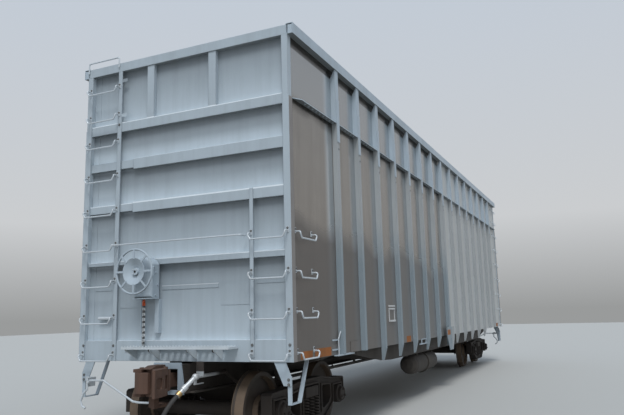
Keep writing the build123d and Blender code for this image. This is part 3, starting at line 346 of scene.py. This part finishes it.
# Painted shade under the waist shelf with a ragged edge, and a painted reflection of the chord's underside
# below the top chord.
shadows = maths(tree, "MULTIPLY_ADD", wander, 0.40, parts.outputs["Z"])
waist_shade = maths(tree, "MULTIPLY", span(tree, shadows, 4.22, 4.34),
                   span(tree, parts.outputs["Z"], 4.19, 4.17))
painted_ledge_shade = maths(tree, "MAXIMUM", waist_shade, span(tree, parts.outputs["Z"], 4.795, 4.815))
darkened = blend(tree, span(tree, painted_ledge_shade, 0.0, 1.0, 0.0, 0.88), darkened, (0.045, 0.036, 0.028, 1))
silvered = blend(tree, span(tree, silver_part, 0.0, 1.0, 0.0, 0.8), darkened, (0.53, 0.55, 0.545, 1))
dull = maths(tree, "MAXIMUM", low_zone, silver_part)
tree.links.new(silvered, body.inputs["Base Color"])
tree.links.new(span(tree, dull, 0.0, 1.0, 0.20, 0.46), body.inputs["Roughness"])
tree.links.new(span(tree, dull, 0.0, 1.0, 0.85, 0.35), body.inputs["Metallic"])

# Corner posts: painted on the end, but their sides are bare like the sheets up to the waist.
corner = coat("corner_paint", (0.37, 0.43, 0.475), (0.19, 0.215, 0.23), (0.12, 0.20, 0.05, 0.0), 0.0, 0.38,
              0.012, underside_shade=0.6)
tree = corner.node_tree
body = tree.nodes["Principled BSDF"]
facing = facing_of(tree)
sideways = maths(tree, "ABSOLUTE", facing.outputs["Y"])
parts = coordinates(tree)
across = maths(tree, "ABSOLUTE", parts.outputs["Y"])
outer = maths(tree, "MULTIPLY", span(tree, sideways, 0.6, 0.8), span(tree, across, 1.545, 1.555))
lower = maths(tree, "MULTIPLY", outer, span(tree, parts.outputs["Z"], 4.165, 4.160))
under = body.inputs["Base Color"].links[0].from_socket
tree.links.new(blend(tree, lower, under, (0.20, 0.185, 0.175, 1)), body.inputs["Base Color"])

# Wheel steel: the tread and flange are worn to a rusty orange brown, and the flat plates are nearly black.
# The two are told apart by which way the surface faces.
wheel_metal = coat("wheel_steel", (0.030, 0.026, 0.024), (0.10, 0.075, 0.055), (0.4, 0.1, 0.2, 0.2), 0.3, 0.6,
                   0.004)
tree = wheel_metal.node_tree
body = tree.nodes["Principled BSDF"]
facing = facing_of(tree)
sideways = maths(tree, "ABSOLUTE", facing.outputs["Y"])
middle = coordinates(tree)
apart = maths(tree, "ABSOLUTE", middle.outputs["Y"])
rim_side = span(tree, apart, 0.650, 0.660)
tread = maths(tree, "MULTIPLY", span(tree, sideways, 0.55, 0.35), rim_side)
rust_noise = shader(tree, "ShaderNodeTexNoise", {2: 6.0, 3: 4.0}).outputs[0]
rust = blend(tree, rust_noise, (0.085, 0.060, 0.042, 1), (0.20, 0.145, 0.100, 1))
under = body.inputs["Base Color"].links[0].from_socket
tree.links.new(blend(tree, tread, under, rust), body.inputs["Base Color"])

# Train line, chain and striker: the pipe is silver where it comes out at an end and black under the floor.
# The chain's top is red, every second link is darkened as painted shade between the links, and only the front
# plate of the striker is painted.
for name, axis, edge_low, edge_high, near, base in (
    ("pipe_metal", "X", 7.05, 7.15, (0.52, 0.54, 0.55), (0.035, 0.032, 0.03)),
    ("chain_metal", "Z", 1.765, 1.767, (0.60, 0.12, 0.04), (0.62, 0.66, 0.68)),
    ("striker_metal", "X", 7.600, 7.612, (0.37, 0.44, 0.50), (0.035, 0.032, 0.03)),
):
    made = coat(name, base, (0.15, 0.12, 0.10), (0.35, 0.1, 0.2, 0.2), 0.4, 0.45)
    tree = made.node_tree
    body = tree.nodes["Principled BSDF"]
    spread = coordinates(tree)
    away = maths(tree, "ABSOLUTE", spread.outputs[axis])
    under = body.inputs["Base Color"].links[0].from_socket
    reach = span(tree, away, edge_low, edge_high)
    if name == "pipe_metal":
        short = span(tree, spread.outputs["Z"], 0.990, 0.980)
        reach = maths(tree, "MULTIPLY", reach, short)
    if name == "chain_metal":
        # Every second link is dark, as painted shade in the gaps between links.
        two_links = 0.0634
        link_phase = maths(tree, "MODULO", spread.outputs["Z"], two_links)
        under = blend(tree, span(tree, link_phase, 0.030, 0.034, 0.0, 0.85), under, (0.07, 0.07, 0.07, 1))
    tree.links.new(blend(tree, reach, under, (*near, 1)), body.inputs["Base Color"])
pipe_metal = bpy.data.materials["pipe_metal"]
chain_metal = bpy.data.materials["chain_metal"]
striker_metal = bpy.data.materials["striker_metal"]

# Every solid takes its finish here, by the start of its name.
finishes = (
    ("side_sheet", side), ("upper_sheet", side), ("centre_sill", black), ("body_bolster", black),
    ("cross_ties", black), ("floor", black), ("side_sill", black), ("air_reservoir", black),
    ("brake_cylinder", black), ("truck", casting), ("coupler", rusty), ("knuckle", rusty),
    ("strikers", striker_metal), ("corner_posts", corner), ("end_wall", end_sheet), ("side_posts", post_grey),
    ("end_frame", end_grey), ("wheels", wheel_metal), ("axle", casting), ("end_ladders", bars),
    ("side_ladders", bars), ("stirrups", grey), ("uncoupling", bars), ("brake_platform", grating),
    ("brake_pipe", pipe_metal), ("brake_chain", chain_metal), ("hose_couplings", silver), ("hose", rubber),
    ("", grey),
)
for name, solid in nodes.items():
    solid.data.materials.clear()
    solid.data.materials.append(next(paint for start, paint in finishes if name.startswith(start)))
for hose in hoses:
    hose.data.materials.append(rubber)
paving = bpy.data.materials.new("paving")
paving.use_nodes = True
paving.node_tree.nodes["Principled BSDF"].inputs["Base Color"].default_value = (0.42, 0.42, 0.40, 1)
paving.node_tree.nodes["Principled BSDF"].inputs["Roughness"].default_value = 0.9
floor.data.materials.append(paving)


# Repeated pieces are made by geometry nodes and kept as plain meshes.
# The stud group sets a bolt head with its washer on every point, turned to the point's facing.
def tree_of(name, inputs):
    """A geometry group with its named inputs, and its input and output nodes."""
    made = bpy.data.node_groups.new(name, "GeometryNodeTree")
    for key, kind in inputs:
        made.interface.new_socket(key, in_out="INPUT", socket_type="NodeSocket" + kind)
    made.interface.new_socket("Geometry", in_out="OUTPUT", socket_type="NodeSocketGeometry")
    return made, made.nodes.new("NodeGroupInput").outputs, made.nodes.new("NodeGroupOutput").inputs


def grow(name, points, edges, group, values, body, facings=()):
    """Points or lines dressed by a geometry group, kept as a plain mesh that rides on a body."""
    seed = bpy.data.meshes.new(name + "_seed")
    seed.from_pydata(points, edges, [])
    if facings:
        seed.attributes.new("facing", "FLOAT_VECTOR", "POINT").data.foreach_set(
            "vector", [value for facing in facings for value in facing])
    piece = bpy.data.objects.new(name, seed)
    scene.collection.objects.link(piece)
    modifier = piece.modifiers.new("grow", "NODES")
    modifier.node_group = group
    for key, value in values.items():
        modifier[group.interface.items_tree[key].identifier] = value
    bpy.context.view_layer.update()
    plain = bpy.data.meshes.new_from_object(piece.evaluated_get(bpy.context.evaluated_depsgraph_get()))
    piece.modifiers.clear()
    piece.data = plain
    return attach(piece, body)


studs, given, result = tree_of("studs", (
    ("Geometry", "Geometry"), ("Radius", "Float"), ("Height", "Float"), ("Sides", "Int"), ("Washer", "Float"),
    ("Material", "Material"),
))
head = shader(studs, "GeometryNodeMeshCylinder", {"Vertices": given["Sides"], "Radius": given["Radius"],
                                                  "Depth": given["Height"]}).outputs["Mesh"]
half = maths(studs, "MULTIPLY", given["Height"], 0.5)
raised = shader(studs, "ShaderNodeCombineXYZ", {2: half}).outputs[0]
head = shader(studs, "GeometryNodeTransform", {"Geometry": head, "Translation": raised}).outputs[0]
wide = maths(studs, "MULTIPLY", given["Radius"], given["Washer"])
thin = maths(studs, "MULTIPLY", given["Height"], 0.4)
washer = shader(studs, "GeometryNodeMeshCylinder",
                {"Vertices": 12, "Radius": wide, "Depth": thin}).outputs["Mesh"]
stud = studs.nodes.new("GeometryNodeJoinGeometry")
studs.links.new(head, stud.inputs[0])
studs.links.new(washer, stud.inputs[0])
facing = shader(studs, "GeometryNodeInputNamedAttribute", {"Name": "facing"},
                data_type="FLOAT_VECTOR").outputs[0]
tilt = shader(studs, "FunctionNodeAlignRotationToVector", {"Vector": facing}, axis="Z").outputs[0]
placed = shader(studs, "GeometryNodeInstanceOnPoints",
                {"Points": given["Geometry"], "Instance": stud.outputs[0], "Rotation": tilt}).outputs[0]
real = shader(studs, "GeometryNodeRealizeInstances", {0: placed}).outputs[0]
studs.links.new(
    shader(studs, "GeometryNodeSetMaterial", {"Geometry": real, "Material": given["Material"]}).outputs[0],
    result[0])

# The rod group sweeps a round bar along lines of edges and bends it at the corners.
rods, given, result = tree_of("rods", (
    ("Geometry", "Geometry"), ("Radius", "Float"), ("Bend", "Float"), ("Sides", "Int"),
    ("Material", "Material"),
))
line = shader(rods, "GeometryNodeMeshToCurve", {"Mesh": given["Geometry"]}).outputs[0]
line = shader(rods, "GeometryNodeFilletCurve", {"Curve": line, "Radius": given["Bend"], "Count": 4,
                                                "Limit Radius": True}, mode="POLY").outputs[0]
ring = shader(rods, "GeometryNodeCurvePrimitiveCircle",
              {"Resolution": given["Sides"], "Radius": given["Radius"]}).outputs[0]
tube = shader(rods, "GeometryNodeCurveToMesh",
              {"Curve": line, "Profile Curve": ring, "Fill Caps": True}).outputs[0]
real = shader(rods, "GeometryNodeRealizeInstances", {0: tube}).outputs[0]
rods.links.new(
    shader(rods, "GeometryNodeSetMaterial", {"Geometry": real, "Material": given["Material"]}).outputs[0],
    result[0])


def turned(places, sign):
    """Places as they are for sign 1, or turned half round about the upright axis for sign -1."""
    return [(x * sign, y * sign, z) for x, y, z in places]


def plates(name, boxes, material, body):
    """Flat pieces between two corners each, in one mesh."""
    corners, faces = [], []
    for low, high in boxes:
        first = len(corners)
        corners += [((low, high)[n & 1][0], (low, high)[n >> 1 & 1][1], (low, high)[n >> 2][2])
                    for n in range(8)]
        for face in ((0, 2, 3, 1), (4, 5, 7, 6), (0, 1, 5, 4), (2, 6, 7, 3), (0, 4, 6, 2), (1, 3, 7, 5)):
            faces.append([first + n for n in face])
    mesh = bpy.data.meshes.new(name)
    mesh.from_pydata(corners, [], faces)
    mesh.materials.append(material)
    piece = bpy.data.objects.new(name, mesh)
    scene.collection.objects.link(piece)
    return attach(piece, body)


# End ladders: round galvanised bars whose ends turn back to flattened feet, each held by one bolt.
# They stand on the left stile and the corner post, with a shorter column on the right of each end.
sill_z, end_x, foot_face, rung_x = 1.095, 7.445, 7.453, 7.527
rung_drop, foot_low, foot_high, foot_half = 0.030, 0.020, 0.048, 0.017
rung_rise, rung_pitch, bar_radius, foot_rise = 0.075, 0.463, 0.0102, 0.030
rung_rows = [(0.990, 1.487, rung_pitch * n) for n in range(7)]
rung_rows += [(0.990, 1.487, 3.147), (0.990, 1.487, 3.542)]
rung_rows += [(-1.515, -1.036, 0.020 + 0.456 * n) for n in range(4)]
rail_z, rail_x, grab_foot_z, grab_x = 2.542, 7.560, 4.989, 7.455
for tag, sign in (("b", 1), ("a", -1)):
    points, edges, spots, feet, lines = [], [], [], [], []
    for y0, y1, height in rung_rows:
        low = sill_z + height
        top = low + rung_rise
        lines.append([(-end_x, y0, top), (-rung_x, y0, top), (-rung_x, y0, top - rung_drop),
                      (-rung_x, y0 + rung_drop, low), (-rung_x, y1 - rung_drop, low),
                      (-rung_x, y1, top - rung_drop), (-rung_x, y1, top), (-end_x, y1, top)])
        spots += [(-7.452, y0, top + foot_rise), (-7.452, y1, top + foot_rise)]
        feet += [((-foot_face, y - foot_half, top - foot_low), (-7.4452, y + foot_half, top + foot_high))
                 for y in (y0, y1)]
    lines.append([(-end_x, 0.960, rail_z), (-rail_x, 0.960, rail_z), (-rail_x, -0.952, rail_z),
                  (-7.434, -0.952, rail_z)])
    lines.append([(-grab_x, 1.005, grab_foot_z), (-grab_x, 1.005, 5.135), (-grab_x, 1.537, 5.135),
                  (-grab_x, 1.537, grab_foot_z)])
    for line in lines:
        first = len(points)
        points += turned(line, sign)
        edges += [(n, n + 1) for n in range(first, len(points) - 1)]
    values = {"Radius": bar_radius, "Bend": 0.022, "Sides": 10, "Material": bars}
    rungs = grow("end_rungs_" + tag, points, edges, rods, values, "carbody")
    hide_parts("end_ladders_" + tag)
    values = {"Radius": 0.011, "Height": 0.010, "Sides": 6, "Washer": 1.35, "Material": bolt_steel}
    grow("end_rung_bolts_" + tag, turned(spots, sign), [], studs, values, "carbody",
         [(-sign, 0, 0)] * len(spots))
    plates("end_rung_feet_" + tag, [turned(pair, sign) for pair in feet], bars, "carbody")

# Side ladders: the same bars bolted straight through the side metal, short at the right of each end
# and full height at its left.
side_face, side_foot, side_rung_out = 1.540, 1.548, 1.615
for tag, sign in (("b", 1), ("a", -1)):
    points, edges, spots, feet = [], [], [], []
    heights = [(-1, 0.020 + 0.456 * n) for n in range(4)]
    heights += [(1, rung_pitch * n) for n in range(7)] + [(1, 3.199), (1, 3.592)]
    near, far = 0.125 - end_x, 0.570 - end_x
    for hand, height in heights:
        low = sill_z + height
        top = low + rung_rise
        wall, out, foot = hand * side_face, hand * side_rung_out, hand * side_foot
        line = [(near, wall, top), (near, out, top), (near, out, top - rung_drop),
                (near + rung_drop, out, low), (far - rung_drop, out, low), (far, out, top - rung_drop),
                (far, out, top), (far, wall, top)]
        first = len(points)
        points += turned(line, sign)
        edges += [(n, n + 1) for n in range(first, len(points) - 1)]
        spots += [(x, foot, top + foot_rise, hand) for x in (near, far)]
        feet += [((x - foot_half, wall, top - foot_low), (x + foot_half, foot, top + foot_high))
                 for x in (near, far)]
    values = {"Radius": bar_radius, "Bend": 0.022, "Sides": 10, "Material": bars}
    rungs = grow("side_rungs_" + tag, points, edges, rods, values, "carbody")
    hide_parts("side_ladders_" + tag)
    plates("side_rung_feet_" + tag, [turned(pair, sign) for pair in feet], bars, "carbody")
    values = {"Radius": 0.011, "Height": 0.010, "Sides": 6, "Washer": 1.35, "Material": bolt_steel}
    grow("side_rung_bolts_" + tag, turned([spot[:3] for spot in spots], sign), [], studs, values, "carbody",
         [(0, hand * sign, 0) for x, y, z, hand in spots])

# End wall fittings: thin steel patch plates and edge strips welded over the sheet, and bolts above the
# lowest rungs and through the stirrups. Two lugs stand on the inner edge of the left stile.
# Both ends have the same ones.
for tag, sign in (("b", 1), ("a", -1)):
    patches = [((-7.389, -0.976, 1.746), (-7.385, -0.580, 1.978)),
               ((-7.389, 0.577, 1.747), (-7.385, 0.947, 1.970)),
               ((-7.390, 1.030, 1.977), (-7.385, 1.366, 1.989)),
               ((-7.390, -1.462, 1.982), (-7.385, -1.078, 1.994)),
               ((-7.389, 1.372, 1.343), (-7.385, 1.4695, 2.007)),
               ((-7.379, 1.372, 2.007), (-7.375, 1.4695, 4.929)),
               ((-7.391, -0.551, 1.957), (-7.385, 0.280, 2.000)),
               ((-7.444, 0.862, 4.282), (-7.438, 0.950, 4.329)),
               ((-7.444, 0.862, 4.769), (-7.438, 0.950, 4.816))]
    plates("end_patches_" + tag, [turned(pair, sign) for pair in patches], end_sheet, "carbody")
    # A strip of bright bar steel along the top edge of the lap is a painted highlight.
    lap_highlight = ((-7.392, -0.551, 2.000), (-7.385, 0.280, 2.011))
    plates("end_strip_" + tag, [turned(lap_highlight, sign)], bars, "carbody")
    spots = [(-7.4455, y, 1.283) for y in (0.990, 1.487, -1.036, -1.515)] + [(-7.4455, 0.984, 4.180)]
    values = {"Radius": 0.013, "Height": 0.010, "Sides": 6, "Washer": 1.4, "Material": bolt_steel}
    grow("end_bolts_" + tag, turned(spots, sign), [], studs, values, "carbody",
         [(-sign, 0, 0)] * len(spots))
    spots = [(-7.4235, -1.480, z) for z in (0.906, 0.854)] + [(-7.4235, 1.480, z) for z in (0.915, 0.858)]
    grow("stirrup_bolts_" + tag, turned(spots, sign), [], studs, values, "carbody",
         [(-sign, 0, 0)] * len(spots))

# Side fittings: a doubling strip along the bottom of each sheet, bolts under the waist shelf, seen from below
# as dots, and a dark disc of painted shade for a hole on each post just below its splice strap.
end_post_x, bolt_pitch = 6.067, 0.110
post_xs = [post_pitch * n for n in range(-6, 7)] + [-end_post_x, end_post_x]
for tag, hand in (("right", -1), ("left", 1)):
    plates("side_doubler_" + tag, [((-7.354, hand * side_face, sill_z), (7.354, hand * 1.5435, 1.223))], side,
           "carbody")
    spots = [(n * bolt_pitch, hand * 1.575, 4.1635) for n in range(-64, 65)]
    values = {"Radius": 0.012, "Height": 0.012, "Sides": 6, "Washer": 1.4, "Material": grey}
    grow("shelf_bolts_" + tag, spots, [], studs, values, "carbody", [(0, 0, -1)] * len(spots))
    spots = [(x + 0.012, hand * 1.6122, 3.815) for x in post_xs]
    values = {"Radius": 0.014, "Height": 0.001, "Sides": 12, "Washer": 1.0, "Material": hole_shade}
    grow("strap_holes_" + tag, spots, [], studs, values, "carbody", [(0, hand, 0)] * len(spots))

# Reflectors and holders on both sides: coloured strips that throw light back, a card frame, a retaining rod in
# two clips beside the first post, a pad and a step bracket, all stuck, riveted or welded to the side metal.
# The far side has the same ones, turned half round.
for tag, sign in (("right", 1), ("left", -1)):
    for name, paint, boxes in (
        ("orange_strips_", orange, (
            ((-7.232, -1.545, 1.106), (-6.917, -1.5435, 1.195)),
            ((-6.847, -1.545, 1.100), (-6.361, -1.5435, 1.205)),
            ((-3.060, -1.545, 1.098), (-2.800, -1.5435, 1.200)),
            ((-0.322, -1.6235, 1.112), (-0.060, -1.622, 1.218)),
            ((6.361, -1.545, 1.106), (6.847, -1.5435, 1.205)),
        )),
        ("card_frame_", white, (
            ((-3.985, -1.560, 1.700), (-3.695, -1.540, 1.724)),
            ((-3.985, -1.556, 1.655), (-3.695, -1.540, 1.682)),
            ((-3.985, -1.550, 1.490), (-3.965, -1.540, 1.655)),
            ((-3.715, -1.550, 1.490), (-3.695, -1.540, 1.655)),
            ((-3.990, -1.564, 1.462), (-3.690, -1.540, 1.490)),
        )),
        ("card_backs_", side, (
            ((-3.965, -1.5425, 1.490), (-3.715, -1.540, 1.655)),
            ((-5.700, -1.550, 1.096), (-5.345, -1.5435, 1.236)),
        )),
        ("side_brackets_", grey, (
            ((-2.139, -1.560, 1.098), (-1.815, -1.5435, 1.112)),
            ((-2.272, -1.566, 1.015), (-1.800, -1.540, 1.033)),
            ((-2.150, -1.556, 1.033), (-2.120, -1.5435, 1.098)),
            ((-1.850, -1.556, 1.033), (-1.820, -1.5435, 1.098)),
            ((-6.327, -1.557, 1.272), (-6.105, -1.5435, 1.290)),
            ((-6.327, -1.557, 1.152), (-6.105, -1.5435, 1.170)),
            ((-6.271, -1.610, 1.083), (-5.727, -1.540, 1.0945)),
        )),
    ):
        plates(name + tag, [turned(pair, sign) for pair in boxes], paint, "carbody")
    rod = [(-6.165, -1.566, 1.077), (-6.165, -1.566, 1.297), (-6.125, -1.580, 1.386)]
    grow("retaining_rod_" + tag, turned(rod, sign), [(0, 1), (1, 2)], rods,
         {"Radius": 0.009, "Bend": 0.02, "Sides": 8, "Material": bars}, "carbody")

# Handbrake: four screws round the socket of the wheel's hub, drawn as a dark square of painted shade, bolts on
# the side of the housing, a release lever, and a steel card tube at the left. The platform's galvanised bars
# are cut into teeth for a shoe to hold on.
hub = Vector((-7.684, 0.468, 2.179))
grow("hub_socket", [hub], [], studs,
     {"Radius": 0.016, "Height": 0.004, "Sides": 4, "Washer": 1.0, "Material": hole_shade}, "carbody", [(-1, 0, 0)])
spots = [hub + Vector((0, 0.026 * y, 0.026 * z)) for y in (-1, 1) for z in (-1, 1)]
grow("hub_screws", spots, [], studs,
     {"Radius": 0.007, "Height": 0.006, "Sides": 8, "Washer": 1.3, "Material": bars}, "carbody",
     [(-1, 0, 0)] * 4)
spots = [(-7.515, 0.285, 2.165), (-7.507, 0.285, 1.888), (-7.480, 0.285, 2.020)]
grow("housing_bolts", spots, [], studs,
     {"Radius": 0.013, "Height": 0.014, "Sides": 6, "Washer": 1.4, "Material": grey}, "carbody",
     [(0, -1, 0)] * 3)
grow("release_lever", [(-7.54, 0.290, 2.230), (-7.60, 0.262, 2.230), (-7.60, 0.255, 2.120)], [(0, 1), (1, 2)],
     rods, {"Radius": 0.010, "Bend": 0.02, "Sides": 8, "Material": grey}, "carbody")
grow("card_tube", [(-7.425, 1.062, 1.624), (-7.425, 1.255, 1.624)], [(0, 1)], rods,
     {"Radius": 0.023, "Bend": 0.01, "Sides": 14, "Material": bars}, "carbody")
plates("card_tube_bracket", [((-7.402, 1.10, 1.612), (-7.375, 1.225, 1.636))], grey, "carbody")
deck_z, tooth_rise, tooth_pitch, tooth_width = 1.270, 0.014, 0.0455, 0.021
plates("platform_teeth", [((x, y, deck_z), (x + 0.004, y + tooth_width, deck_z + tooth_rise))
                          for x in (-7.648, -7.600, -7.545, -7.490)
                          for y in [-0.840 + tooth_pitch * n for n in range(34)]], grating, "carbody")
spots = [(-7.4335, y, z) for y, z in (
    (0.787, 1.228), (0.646, 1.172), (0.426, 1.224), (0.292, 1.172),
    (-0.141, 1.218), (-0.248, 1.168), (-0.504, 1.218), (-0.612, 1.168),
)]
grow("platform_bolts", spots, [], studs,
     {"Radius": 0.015, "Height": 0.014, "Sides": 6, "Washer": 1.35, "Material": black}, "carbody",
     [(-1, 0, 0)] * len(spots))

# Coupler trim: a dark bolt head on the guard arm side and the pin's head, at both ends.
# The angle cock's ferrule is brass.
for tag, sign in (("b", 1), ("a", -1)):
    spots = [(-7.935, 0.122, 1.0515), (-7.80, -0.10, 1.0515)]
    grow("pin_head_" + tag, turned(spots, sign), [], studs,
         {"Radius": 0.026, "Height": 0.014, "Sides": 12, "Washer": 1.2, "Material": rusty}, "carbody",
         [(0, 0, 1)] * len(spots))
    ring = [cock_tip - cock_aim * 0.052, cock_tip - cock_aim * 0.002]
    grow("ferrule_" + tag, turned(ring, sign), [(0, 1)], rods,
         {"Radius": 0.0345, "Bend": 0.001, "Sides": 20, "Material": brass}, "carbody")

# Truck springs: coiled steel bar, six to a side frame, between the frame and the bolster.
# They stand for the plain cylinders of the solids.
coils, given, result = tree_of("coils", (
    ("Geometry", "Geometry"), ("Radius", "Float"), ("Height", "Float"), ("Bar", "Float"), ("Turns", "Float"),
    ("Material", "Material"),
))
spiral = shader(coils, "GeometryNodeCurveSpiral", {"Resolution": 14, "Rotations": given["Turns"],
                                                   "Start Radius": given["Radius"],
                                                   "End Radius": given["Radius"],
                                                   "Height": given["Height"]}).outputs[0]
ring = shader(coils, "GeometryNodeCurvePrimitiveCircle", {"Resolution": 7, "Radius": given["Bar"]}).outputs[0]
coil = shader(coils, "GeometryNodeCurveToMesh",
              {"Curve": spiral, "Profile Curve": ring, "Fill Caps": True}).outputs[0]
placed = shader(coils, "GeometryNodeInstanceOnPoints",
                {"Points": given["Geometry"], "Instance": coil}).outputs[0]
real = shader(coils, "GeometryNodeRealizeInstances", {0: placed}).outputs[0]
coils.links.new(
    shader(coils, "GeometryNodeSetMaterial", {"Geometry": real, "Material": given["Material"]}).outputs[0],
    result[0])
truck_x, axle_half, frame_y, seat_z = 5.965, 0.889, 1.003, 0.313
cap_face, cap_z, cap_ring = 1.1582, 0.482, 0.062
for tag, sign in (("b", -1), ("a", 1)):
    spots = [(sign * truck_x + x, hand * frame_y + y, seat_z)
             for x in (-0.155, 0.0, 0.155) for hand in (-1, 1) for y in (-0.052, 0.052)]
    springs = grow("coil_springs_" + tag, spots, [], coils,
                   {"Radius": 0.038, "Height": 0.214, "Bar": 0.0125, "Turns": 5.5, "Material": casting},
                   "truck_" + tag)
    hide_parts("truck_springs_" + tag)
    for side_name, hand in (("right", -1), ("left", 1)):
        for place_name, offset in (("outer", sign), ("inner", -sign)):
            centre = sign * truck_x + offset * axle_half
            angles = [math.radians(90 + 120 * n) for n in range(3)]
            spots = [(centre + cap_ring * math.cos(turn), hand * cap_face, cap_z + cap_ring * math.sin(turn))
                     for turn in angles]
            grow(f"cap_bolts_{place_name}_{tag}_{side_name}", spots, [], studs,
                 {"Radius": 0.017, "Height": 0.016, "Sides": 6, "Washer": 1.3, "Material": casting},
                 f"wheelset_{place_name}_{tag}", [(0, hand, 0)] * 3)
